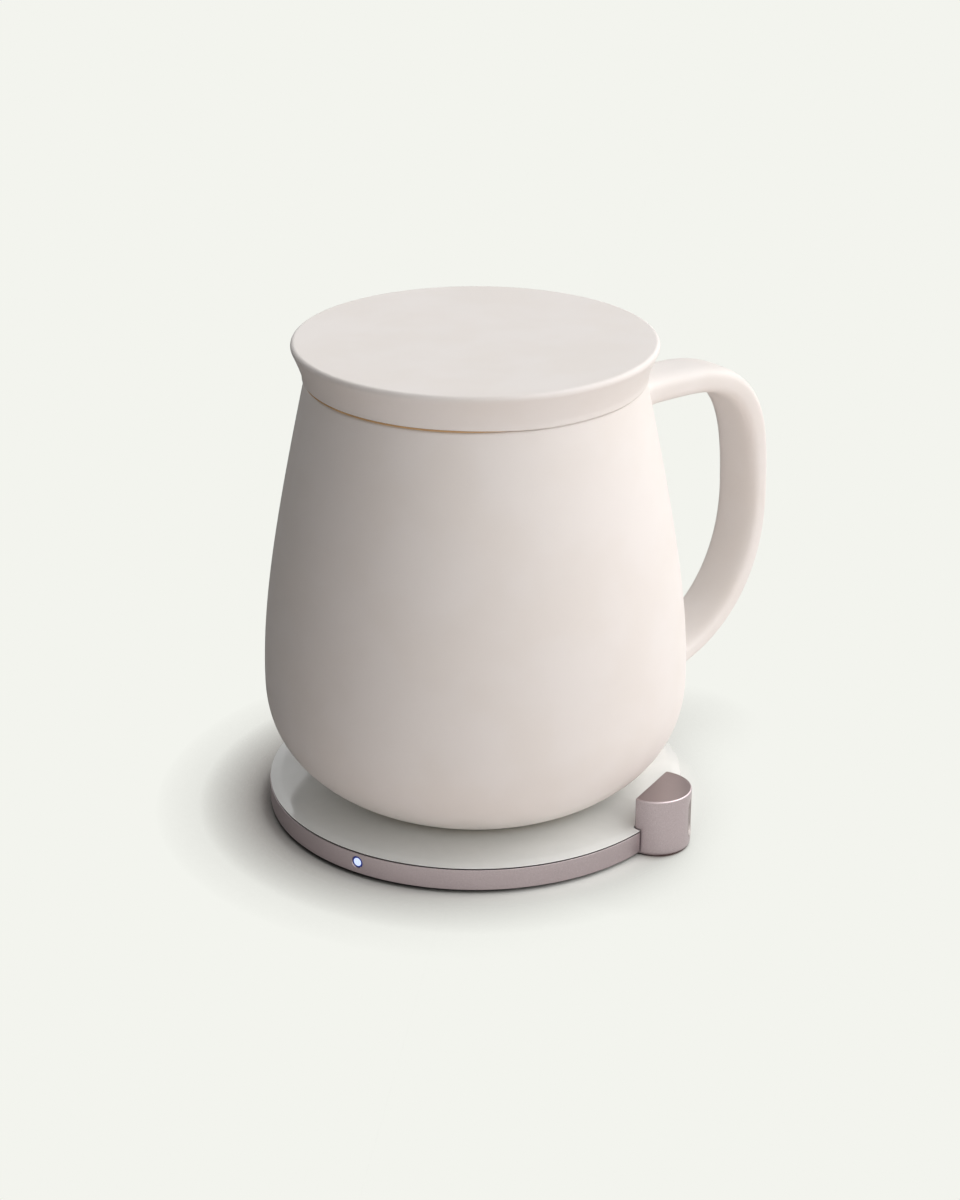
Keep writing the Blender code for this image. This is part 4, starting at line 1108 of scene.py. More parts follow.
@dataclass(frozen=True)
class Inlet:
    """The power inlet in the pod: a drawn steel shell with a contact tongue inside."""

    pod: PodShape = PodShape()
    turn: float = math.radians(-49.5)
    middle: float = 7.1 * MM
    tall: float = 8.94 * MM
    wide: float = 3.26 * MM
    back: float = 0.6 * MM
    mouth: float = 7.3 * MM
    wall: float = 0.3 * MM
    floor: float = 0.4 * MM
    hole_gap: float = 0.2 * MM
    trim_wide: float = 0.48 * MM
    trim_back: float = 7.2 * MM
    trim_proud: float = 0.06 * MM
    trim_gap: float = 0.02 * MM
    funnel: float = 0.05 * MM
    bead_inner: float = 0.2 * MM
    bead_outer: float = 0.08 * MM
    cut_start: float = 4.7 * MM
    tongue_tall: float = 6.6 * MM
    tongue_wide: float = 0.7 * MM
    tongue_start: float = 1.2 * MM
    tongue_end: float = 5.8 * MM
    nose_length: float = 0.2 * MM
    nose_wide: float = 0.82
    nose_tall: float = 0.9775
    contact_pitch: float = 0.5 * MM
    contact_tall: float = 0.26 * MM
    contact_long: float = 3.2 * MM
    contact_proud: float = 0.08 * MM
    contact_set_back: float = 2.2 * MM
    contacts: int = 12
    steps: int = 64

    def outline(self, inset: float) -> Array:
        """An upright slot with round ends: side = r cos(a), height = r sin(a) + straight sign(sin(a)).

        Args:
            inset: how far inwards the outline is moved.

        Returns:
            The (n, 2) outline.
        """
        radius, straight = self.wide / 2 - inset, (self.tall - self.wide) / 2
        angle = (np.arange(self.steps) + 0.5) * (2 * math.pi / self.steps)
        height = radius * np.sin(angle) + straight * np.sign(np.sin(angle))
        return np.stack([radius * np.cos(angle), height], axis=-1)

    def world(self, points: Array) -> Array:
        """Points of the inlet's own frame in the world."""
        origin = np.array([*polar(self.pod.centre, 0, self.pod.turn), self.middle])
        return placed(points, origin, facing(self.turn))

    def cutter(self) -> Piece:
        """The slot through the pod's wall, with a rebate round its mouth for the trim.

        Returns:
            The cutter.
        """
        slot, rebate, back = -self.hole_gap, -self.trim_wide - self.trim_gap, self.trim_back - self.trim_gap
        end = self.pod.radius + OVERRUN
        rows = np.array([(slot, self.cut_start), (slot, back), (rebate, back), (rebate, end)])
        return grid_piece("inlet_slot", self.world(capped(stacked(self.outline, rows))))

    def trim(self) -> None:
        """The turned trim round the mouth: a small bead on the pod's skin and a funnel down to the shell.

        At the side of the inlet's axis the skin drops by r - sqrt(r^2 - side^2), and the bead with it.
        """
        skin, wide, back, proud = self.pod.radius, self.trim_wide, self.trim_back, self.trim_proud
        rows = rounded([
            (-self.funnel, back), (self.bead_inner - wide, skin, EDGE.clean),
            (self.bead_outer - wide, skin + proud, EDGE.crisp), (-wide, skin, EDGE.clean), (-wide, back),
        ], closed=True, steps=4)
        grid = stacked(self.outline, rows)
        drop = skin - np.sqrt(skin**2 - grid[..., 0] ** 2)
        grid[..., 2] -= drop * ((rows[:, 1:] - back) / (skin - back)).clip(0, 1)
        dress(grid_piece("inlet_trim", self.world(grid), ring=True), FINISH.trim, Body.COASTER)

    def shell(self) -> None:
        """The drawn shell: a cup with a rounded lip."""
        end = self.wide / 2
        rows = rounded([
            (end, self.back), (0, self.back, EDGE.turned), (0, self.mouth, EDGE.drawn),
            (self.wall, self.mouth, EDGE.drawn), (self.wall, self.back + self.floor),
            (end, self.back + self.floor),
        ], steps=4)
        piece = grid_piece("inlet_shell", self.world(stacked(self.outline, rows)))
        dress(piece, FINISH.steel, Body.COASTER, "socket_shell")

    def tongue(self) -> None:
        """The moulded tongue and the gold contacts laid into its two faces."""
        half, side = self.tongue_tall / 2, self.tongue_wide / 2
        flat = rounded([
            (side, -half, EDGE.eased), (side, half, EDGE.eased), (-side, half, EDGE.eased),
            (-side, -half, EDGE.eased),
        ], closed=True, steps=4)
        scale = np.array([(1.0, 1.0), (1.0, 1.0), (self.nose_wide, self.nose_tall)])
        along = np.array([self.tongue_start, self.tongue_end - self.nose_length, self.tongue_end])
        level = np.broadcast_to(along[:, None, None], (len(along), len(flat), 1))
        grid = np.concatenate([flat * scale[:, None], level], axis=-1)
        piece = grid_piece("inlet_tongue", self.world(capped(grid)))
        dress(piece, FINISH.chip, Body.COASTER, "socket_tongue")
        box = np.array([(x, y, z) for x in (-1, 1) for y in (-1, 1) for z in (-1, 1)]) / 2
        size = np.array([self.tongue_wide + self.contact_proud, self.contact_tall, self.contact_long])
        height = (np.arange(self.contacts) - (self.contacts - 1) / 2) * self.contact_pitch
        reach = np.full_like(height, self.tongue_end - self.contact_set_back)
        centres = np.stack([0 * height, height, reach], axis=-1)
        points = (centres[:, None] + box * size).reshape(-1, 3)
        quads = np.array([(0, 1, 3, 2), (4, 6, 7, 5), (0, 4, 5, 1), (2, 3, 7, 6), (0, 2, 6, 4), (1, 5, 7, 3)])
        faces = (np.arange(self.contacts)[:, None, None] * len(box) + quads).reshape(-1, 4)
        dress(mesh_piece("inlet_contacts", self.world(points), faces), FINISH.contact, Body.COASTER)

    def build(self) -> None:
        """Builds and dresses the inlet."""
        self.trim()
        self.shell()
        self.tongue()
        redress(FINISH.board, "socket_board")


@dataclass(frozen=True)
class Pod:
    """The pod's shell on the coaster's edge, with its bottom hatch."""

    shape: PodShape = PodShape()
    inlet: Inlet = Inlet()
    wall: float = 1.2 * MM
    top_edge: float = 0.35 * MM
    bottom_edge: float = 1.0 * MM
    cap_inset: float = 4.2 * MM
    hatch_inset: float = 2.2 * MM
    hatch_gap: float = 0.3 * MM
    floor: float = 1.55 * MM
    hatch_low: float = 0.55 * MM
    hatch_high: float = 1.35 * MM
    tab_start: float = 37.0 * MM
    tab_width: float = 12.0 * MM
    tab_low: float = 2.3 * MM
    tab_high: float = 3.5 * MM
    window_width: float = 10.4 * MM
    window_low: float = 3.7 * MM
    window_high: float = 5.1 * MM

    def shell(self) -> None:
        """The hollow shell: outlines stacked round its section, then tab, window and inlet slot."""
        shape, deep = self.shape, self.cap_inset
        rows = rounded([
            (deep, shape.top), (0, shape.top, self.top_edge), (0, shape.bottom, self.bottom_edge),
            (self.hatch_inset, shape.bottom, EDGE.broken), (self.hatch_inset, self.floor),
            (self.wall, self.floor), (self.wall, shape.top - self.wall), (deep, shape.top - self.wall),
        ], steps=10)
        piece = grid_piece("pod_case", capped(stacked(shape.outline, rows)))
        tab = shape.slab(
            "tab", self.tab_start, shape.face + self.wall / 2, self.tab_width, self.tab_low, self.tab_high
        )
        carve(piece, tab, Carving.JOIN)
        near, far = shape.face - OVERRUN, shape.face + OVERRUN
        window = shape.slab("window", near, far, self.window_width, self.window_low, self.window_high)
        carve(piece, window)
        carve(piece, self.inlet.cutter())
        dress(piece, FINISH.metal, Body.COASTER, "pod_shell")

    def hatch(self) -> None:
        """The plastic hatch that closes the pod from below."""
        inset, deep = self.hatch_inset + self.hatch_gap, self.cap_inset
        rows = rounded([
            (deep, self.hatch_low), (inset, self.hatch_low, EDGE.dulled),
            (inset, self.hatch_high, EDGE.clean), (deep, self.hatch_high),
        ], steps=4)
        piece = grid_piece("pod_hatch_cover", capped(stacked(self.shape.outline, rows)))
        dress(piece, FINISH.nylon, Body.COASTER, "pod_hatch")

    def build(self) -> None:
        """Builds and dresses the pod and its inlet."""
        self.shell()
        self.hatch()
        self.inlet.build()


@dataclass(frozen=True)
class CupShape:
    """The cup's walls as radius over height."""

    belly_radius: float = 48.32 * MM
    belly_height: float = 32.6 * MM
    closing_height: float = 1.5 * MM
    exponent: float = 2.325
    rim_radius: float = 37.53 * MM
    rim_height: float = 103.1 * MM
    ease: float = 34.4 * MM
    wall: float = 3.6 * MM
    base: float = 6.95 * MM
    well_radius: float = 27.98 * MM
    well_top: float = 13.35 * MM
    floor: float = 16.95 * MM
    cup_exponent: float = 3.2
    rim_edge: float = 1.0 * MM
    foot_run: float = 1.0 * MM
    rim_run: float = 1.6 * MM
    crowding: float = 1.4
    belly_steps: int = 47
    taper_steps: int = 55
    inner_steps: int = 49
    bowl_steps: int = 47

    def radius(self, height: Array | float) -> Array:
        """The outer radius at a height.

        Below the belly it is R (1 - s^n)^(1/n), with s the share of the way down to the closing height.
        Above it is R - k (hypot(z - belly, ease) - ease), with k such that it meets the rim.

        Args:
            height: one height or an array of them.

        Returns:
            The radius at each.
        """
        height = np.asarray(height, float)
        share = np.clip((self.belly_height - height) / (self.belly_height - self.closing_height), 0, 1)
        below = self.belly_radius * (1 - share**self.exponent) ** (1 / self.exponent)
        full = math.hypot(self.rim_height - self.belly_height, self.ease) - self.ease
        run = np.hypot(height - self.belly_height, self.ease) - self.ease
        above = self.belly_radius - (self.belly_radius - self.rim_radius) / full * run
        return np.where(height <= self.belly_height, below, above)

    def reach(self, side: Array, height: Array) -> Array:
        """How far along X the skin lies at a side (Y) and a height: sqrt(radius^2 - side^2)."""
        return np.sqrt(self.radius(height) ** 2 - side**2)

    def profile(self) -> Array:
        """The whole section, from under the well's ceiling round the foot, rim and cup to its floor.

        The bowl inside is x = width cos(a)^(2/n) and z = belly height - depth sin(a)^(2/n).

        Returns:
            (radius, height) points.
        """
        first, top = self.base + self.foot_run, self.rim_height - self.rim_run
        base_radius, first_radius, top_radius, rim_radius = (
            float(self.radius(height)) for height in (self.base, first, top, self.rim_height)
        )
        foot = rounded([
            (0, self.well_top), (self.well_radius, self.well_top, EDGE.moulded),
            (self.well_radius, self.base, EDGE.fired), (base_radius, self.base, EDGE.fired),
            (first_radius, first),
        ], steps=6)
        t = np.linspace(0, 1, self.belly_steps + 1)[1:]
        low = self.belly_height - (self.belly_height - first) * (1 - t) ** self.crowding
        high = np.linspace(self.belly_height, top, self.taper_steps + 1)[1:]
        outer = np.concatenate([low, high])
        rim = rounded([
            (top_radius, top), (rim_radius, self.rim_height, self.rim_edge),
            (rim_radius - self.wall, self.rim_height, self.rim_edge), (top_radius - self.wall, top),
        ], steps=8)[1:]
        inner = np.linspace(top, self.belly_height, self.inner_steps + 1)[1:]
        angle = np.linspace(0, math.pi / 2, self.bowl_steps + 1)[1:]
        width, depth = self.belly_radius - self.wall, self.belly_height - self.floor
        bowl_radius = width * np.cos(angle).clip(0) ** (2 / self.cup_exponent)
        bowl_height = self.belly_height - depth * np.sin(angle) ** (2 / self.cup_exponent)
        bowl_radius[-1] = 0
        return np.concatenate([
            foot,
            np.stack([self.radius(outer), outer], axis=-1),
            rim,
            np.stack([self.radius(inner) - self.wall, inner], axis=-1),
            np.stack([bowl_radius, bowl_height], axis=-1),
        ])


@dataclass(frozen=True)
class Handle:
    """The strap handle: a rounded flat section swept down a bent line and blended into the cup."""

    cup: CupShape = CupShape()
    width: float = 13.9 * MM
    thickness: float = 5.0 * MM
    edge_exponent: float = 3.4
    top_height: float = 91.3 * MM
    bend_start: float = 52.0 * MM
    reach: float = 82.2 * MM
    reach_height: float = 57.0 * MM
    foot_start: float = 46.0 * MM
    foot_height: float = 19.0 * MM
    upper_exponent: float = 3.3
    lower_exponent: float = 2.15
    blend_length: float = 9.0 * MM
    blend_width: float = 2.4 * MM
    blend_lean: float = 0.6
    swell: float = 1.4 * MM
    swell_start: float = 38.0 * MM
    swell_end: float = 70.0 * MM
    sink: float = 0.9 * MM
    blend_steps: int = 18
    strap_steps: int = 120
    level_steps: int = 60
    quarter_steps: int = 700
    section_steps: int = 72
    slope_reach: float = 0.4 * MM

    def quarter(self, angle: Array, start: float, height: float, exponent: float) -> Array:
        """A quarter of |x/a|^n + |z/b|^n = 1, from above or below start out to the strap's furthest point.

        Args:
            angle: where on the quarter each point lies, zero at the furthest point.
            start: the X of the curve's middle.
            height: how high or low the curve runs.
            exponent: the curve's n.

        Returns:
            (x, z) points.
        """
        power = 2 / exponent
        x = start + (self.reach - start) * np.cos(angle).clip(0) ** power
        z = self.reach_height + (height - self.reach_height) * np.sin(angle) ** power
        return np.stack([x, z], axis=-1)

    def centreline(self) -> Array:
        """The strap's middle line in X and Z, from skin to skin.

        A level run out from the neck, then a quarter of a rounded square down to where the strap is
        furthest out, then another, with its own sizes, in to the foot and a level run to the skin.

        Returns:
            Dense (x, z) points.
        """
        start = float(self.cup.radius(self.top_height))
        level = np.linspace(start, self.bend_start, self.level_steps)[:-1]
        level = np.stack([level, np.full_like(level, self.top_height)], axis=-1)
        down = np.linspace(math.pi / 2, 0, self.quarter_steps)
        upper = self.quarter(down, self.bend_start, self.top_height, self.upper_exponent)
        back = np.linspace(0, math.pi / 2, self.quarter_steps)[1:]
        lower = self.quarter(back, self.foot_start, self.foot_height, self.lower_exponent)
        last = np.array([(float(self.cup.radius(self.foot_height)), self.foot_height)])
        return np.concatenate([level, upper, lower, last])

    def section(self) -> tuple[Array, Array]:
        """The strap's section as (side, through) points, and the way out from it at each.

        It is |side / a|^n + |through / b|^n = 1, with a and b half the width and half the thickness.
        The points are bunched where the section bends most.

        Returns:
            The points, and at each the unit vector that points out of the strap.
        """
        angle = np.linspace(0, 2 * math.pi, self.section_steps + 1)[:-1]
        power = 2 / self.edge_exponent
        cosine, sine = np.cos(angle), np.sin(angle)
        side = -self.width / 2 * np.sign(cosine) * np.abs(cosine) ** power
        through = self.thickness / 2 * np.sign(sine) * np.abs(sine) ** power
        flat = np.stack([side, through], axis=-1)
        along = np.roll(flat, -1, axis=0) - np.roll(flat, 1, axis=0)
        out = np.stack([-along[:, 1], along[:, 0]], axis=-1)
        return flat, out / np.linalg.norm(out, axis=1, keepdims=True)

    def grid(self) -> Array:
        """The swept grid.

        At d from the skin, inside the blend's length L, with s = 1 - d / L, the section grows by blend
        width times the mean of s^2 and 1 - sqrt(1 - s^2), which lands flat on the skin. It grows more
        towards the grip than away from it, by the lean. Its points slide along X by the share s^2 of
        the way that lays them on the skin. Before that, the section is stretched away from its outer
        face by the swell, which a smooth step takes away on the way down.

        Returns:
            A closed grid, with both ends sunk into the cup's wall.
        """
        line = self.centreline()
        length = np.concatenate([[0], np.cumsum(np.linalg.norm(np.diff(line, axis=0), axis=1))])
        total = length[-1]
        near = self.blend_length * (1 - np.cos(np.linspace(0, math.pi / 2, self.blend_steps)))
        between = np.linspace(self.blend_length, total - self.blend_length, self.strap_steps)[1:-1]
        stations = np.concatenate([near, between, (total - near)[::-1]])
        spot = np.stack([np.interp(stations, length, line[:, k]) for k in (0, 1)], axis=-1)
        ahead, back = (np.clip(stations + s, 0, total) for s in (self.slope_reach, -self.slope_reach))
        along = np.stack([
            np.interp(ahead, length, line[:, k]) - np.interp(back, length, line[:, k]) for k in (0, 1)
        ], axis=-1)
        along /= np.linalg.norm(along, axis=1, keepdims=True)
        distance = np.minimum(stations, total - stations)
        share = (1 - distance / self.blend_length).clip(0, 1)
        grow = self.blend_width * (share**2 + 1 - np.sqrt(1 - share**2)) / 2
        flat, out = self.section()
        side = flat[:, 0] + grow[:, None] * out[:, 0]
        lean = 1 - self.blend_lean * out[:, 1]
        way = ((stations - self.swell_start) / (self.swell_end - self.swell_start)).clip(0, 1)
        stretch = 1 + self.swell / self.thickness * (1 - way**2 * (3 - 2 * way))
        half = self.thickness / 2
        through = half - (half - flat[:, 1]) * stretch[:, None] + grow[:, None] * out[:, 1] * lean
        weight = (share**2)[:, None]
        height = spot[:, 1:] + through * along[:, :1]
        across = spot[:, :1] - through * along[:, 1:] * (1 - weight)
        across += weight * (self.cup.reach(side, height) - self.cup.radius(spot[:, 1:]))
        grid = np.stack([across, side, height], axis=-1)
        ends = [grid[i] - [self.sink, 0, 0] for i in (0, -1)]
        return capped(np.concatenate([ends[0][None], grid, ends[1][None]]))

    def build(self) -> None:
        """Builds and dresses the handle."""
        dress(grid_piece("cup_handle", self.grid()), FINISH.lid_glaze, Body.MUG, "handle")


@dataclass(frozen=True)
class Mug:
    """The mug: its cup, its handle and the heating stack under the cup's floor."""

    cup: CupShape = CupShape()
    handle: Handle = Handle()
    cover_radius: float = 26.78 * MM
    cover_low: float = 7.25 * MM
    cover_top: float = 8.25 * MM
    groove: float = 22.0 * MM
    groove_width: float = 0.9 * MM
    groove_depth: float = 0.3 * MM
    seal_inner: float = 26.98 * MM
    seal_outer: float = 27.78 * MM
    seal_low: float = 7.35 * MM
    seal_high: float = 8.15 * MM
    coil_turns: int = 14
    coil_inner: float = 8.0 * MM
    coil_outer: float = 23.98 * MM
    coil_middle: float = 8.9 * MM
    coil_tall: float = 0.88 * MM

    def base(self) -> None:
        """The cover that closes the well, with a shallow ring groove, and its round seal."""
        low, near, far = self.cover_low, self.groove, self.groove + self.groove_width
        deep = low + self.groove_depth
        profile = rounded([
            (0, low), (near, low, EDGE.broken), (near, deep, EDGE.broken), (far, deep, EDGE.broken),
            (far, low, EDGE.broken), (self.cover_radius, low, EDGE.turned),
            (self.cover_radius, self.cover_top, EDGE.broken), (0, self.cover_top),
        ], steps=4)
        dress(grid_piece("cup_base_cover", turned(profile)), FINISH.nylon, Body.MUG, "mug_base_cover")
        section = rounded([
            (self.seal_inner, self.seal_low, EDGE.broken), (self.seal_outer, self.seal_low, EDGE.broken),
            (self.seal_outer, self.seal_high, EDGE.broken), (self.seal_inner, self.seal_high, EDGE.broken),
        ], closed=True, steps=4)
        ring = grid_piece("cup_base_gasket", turned(section), ring=True)
        dress(ring, FINISH.foot, Body.MUG, "base_cover_seal")

    def heater(self) -> None:
        """The receiving coil as a winding, and finishes for what stays as the CAD has it."""
        wire = (self.coil_outer - self.coil_inner) / self.coil_turns
        inner, outer = self.coil_inner + wire / 2, self.coil_outer - wire / 2
        grid = winding(inner, outer, self.coil_middle, wire * WIRE_FILL, self.coil_tall, self.coil_turns - 1)
        dress(grid_piece("receiver_winding", grid), FINISH.copper, Body.MUG, "receiver_coil")
        redress(FINISH.ferrite, "receiver_ferrite")
        redress(FINISH.board, "receiver_board")
        redress(FINISH.felt, "felt_ring")
        redress(FINISH.chip, "rectifier_chip", "temperature_sensor")
        redress(FINISH.alumina, "heating_disc")

    def build(self) -> None:
        """Builds and dresses the whole sub-assembly."""
        dress(grid_piece("cup_shell", turned(self.cup.profile())), FINISH.glaze, Body.MUG, "mug_body")
        self.handle.build()
        self.base()
        self.heater()


@dataclass(frozen=True)
class Lid:
    """The lid and the silicone seal round its plug."""

    seat: float = 104.0 * MM
    top: float = 111.6 * MM
    foot_radius: float = 38.05 * MM
    brow_radius: float = 40.35 * MM
    brow_edge: float = 0.95 * MM
    brow_turn: float = math.radians(24)
    foot_edge: float = 0.45 * MM
    foot_run: float = 2.8
    brow_steps: int = 15
    side_steps: int = 19
    top_inset: float = 0.4 * MM
    lip_inner: float = 37.5 * MM
    lip_low: float = 102.95 * MM
    lip_rise: float = 0.5 * MM
    ceiling: float = 107.6 * MM
    plug_radius: float = 32.73 * MM
    bore: float = 30.03 * MM
    plug_bottom: float = 97.6 * MM
    plug_edge: float = 0.6 * MM
    sleeve_inner: float = 32.93 * MM
    sleeve_outer: float = 33.53 * MM
    sleeve_bottom: float = 98.9 * MM
    flange_radius: float = 37.25 * MM
    drift: float = 0.6 * MM
    drift_turn: float = math.radians(195)
    drift_power: int = 4
    droop_power: int = 14
    shown_from: float = 0.45
    shown_width: float = 0.45
    press_room: float = 0.02 * MM
    press_start: float = 0.1 * MM
    droop: float = 0.2 * MM
    flange_low: float = 103.12 * MM
    flange_top: float = 103.85 * MM
    rib: float = 0.3 * MM
    rib_width: float = 0.45 * MM
    rib_steps: int = 60
    rib_start: float = 0.3 * MM
    rib_end: float = 0.4 * MM
    lip_room: float = 0.05 * MM
    rib_heights: tuple[float, ...] = (100.0 * MM, 101.6 * MM)

    def cap(self) -> None:
        """The glazed lid: over a low lip its side flares out as foot + flare share^n to a round brow.

        The brow is an arc, and n is such that the side runs into it without a bend.
        """
        start = np.array([self.foot_radius, self.lip_low + self.foot_run * self.foot_edge])
        centre = np.array([self.brow_radius, self.top]) - self.brow_edge
        angle = np.linspace(-self.brow_turn, math.pi / 2, self.brow_steps + 1)
        brow = centre + self.brow_edge * np.stack([np.cos(angle), np.sin(angle)], axis=-1)
        flare, rise = brow[0] - start
        share = np.linspace(0, 1, self.side_steps + 1)[:-1]
        power = math.tan(self.brow_turn) * rise / flare
        side = np.stack([start[0] + flare * share**power, start[1] + rise * share], axis=-1)
        under = [
            (0, self.ceiling), (self.bore, self.ceiling, EDGE.cast),
            (self.bore, self.plug_bottom, self.plug_edge),
            (self.plug_radius, self.plug_bottom, self.plug_edge), (self.plug_radius, self.seat, EDGE.soft),
            (self.lip_inner, self.seat, EDGE.broken), (self.lip_inner, self.lip_low, EDGE.cut),
            (self.foot_radius, self.lip_low, self.foot_edge),
        ]
        foot = rounded([*under, tuple(side[0]), tuple(side[1])], steps=8)[:-1]
        top = np.array([(centre[0] - self.top_inset, self.top), (0, self.top)])
        grid = turned(np.concatenate([foot, side[1:], brow, top]))
        share = ((self.seat - grid[..., 2]) / (self.seat - self.lip_low)).clip(0, 1)
        lip = np.hypot(grid[..., 0], grid[..., 1]) > self.lip_inner - self.lip_room
        grid[..., 2] += self.lip_rise * share * lip * self.shown(grid)
        dress(grid_piece("lid_cap", grid), FINISH.lid_glaze, Body.LID, "lid")

    def shown(self, grid: Array) -> Array:
        """One on the side where the seal shows under the lip, zero on the other, with a smooth step between.

        Args:
            grid: points of the lid or the seal.

        Returns:
            The share at each point, from the cosine of its way round from the drift turn.
        """
        angle = np.arctan2(grid[..., 1], grid[..., 0])
        share = ((np.cos(angle - self.drift_turn) - self.shown_from) / self.shown_width).clip(0, 1)
        return share**2 * (3 - 2 * share)

    def seal(self) -> None:
        """The seal: a sleeve with soft ribs, rib height cos^2 across each, and a flange on the rim.

        On the side where it shows, the soft flange lies drift further out and droops at its edge, and
        is pressed flat under the lid's lip.
        """
        low, high = self.sleeve_bottom + self.rib_start, self.flange_low - self.rib_end
        height = np.linspace(low, high, self.rib_steps)
        nearest = np.min(np.abs(height[:, None] - np.array(self.rib_heights)), axis=1)
        bulge = self.rib * np.cos(np.clip(nearest / self.rib_width, 0, 1) * math.pi / 2) ** 2
        ribs = [(self.sleeve_outer + b, h) for b, h in zip(bulge, height)]
        section = rounded([
            (self.sleeve_inner, self.sleeve_bottom, EDGE.eased),
            (self.sleeve_outer, self.sleeve_bottom, EDGE.soft), *ribs,
            (self.sleeve_outer, self.flange_low, EDGE.soft),
            (self.flange_radius, self.flange_low, EDGE.pressed),
            (self.flange_radius, self.flange_top, EDGE.moulded),
            (self.sleeve_inner, self.flange_top, EDGE.broken),
        ], closed=True, steps=5)
        grid = turned(section)
        radius = np.hypot(grid[..., 0], grid[..., 1])
        reach = ((radius - self.sleeve_outer) / (self.flange_radius - self.sleeve_outer)).clip(0, 1)
        side = self.shown(grid)
        out = self.drift * reach**self.drift_power * side
        grid[..., :2] *= (1 + out / radius)[..., None]
        grid[..., 2] -= self.droop * reach**self.droop_power * side
        under = self.lip_low + self.lip_rise * side - self.press_room
        pressed = radius + out > self.lip_inner - self.press_start
        grid[..., 2] = np.where(pressed, np.minimum(grid[..., 2], under), grid[..., 2])
        dress(grid_piece("lid_gasket", grid, ring=True), FINISH.seal, Body.LID, "lid_seal")

    def build(self) -> None:
        """Builds and dresses the lid and its seal."""
        self.cap()
        self.seal()


# Studio


@dataclass(frozen=True)
class Lamp:
    """A soft round lamp that looks at the middle of the object, and that the camera doesn't see."""

    name: str
    azimuth: float
    elevation: float
    power: float
    distance: float = 2.4
    size: float = 3.2

    def build(self, aim: Array) -> None:
        """Sets the lamp up on its sphere round the aim, azimuth from +X and elevation from level.

        Args:
            aim: the place that it looks at.
        """
        data = bpy.data.lights.new(self.name, "AREA")
        data.shape = "DISK"
        data.size = self.size
        data.energy = self.power
        lamp = bpy.data.objects.new(self.name, data)
        bpy.context.scene.collection.objects.link(lamp)
        a, e = math.radians(self.azimuth), math.radians(self.elevation)
        away = np.array([math.cos(a) * math.cos(e), math.sin(a) * math.cos(e), math.sin(e)])
        lamp.location = aim + away * self.distance
        lamp.rotation_euler = (math.pi / 2 - e, 0, a + math.pi / 2)
        lamp.visible_camera = False


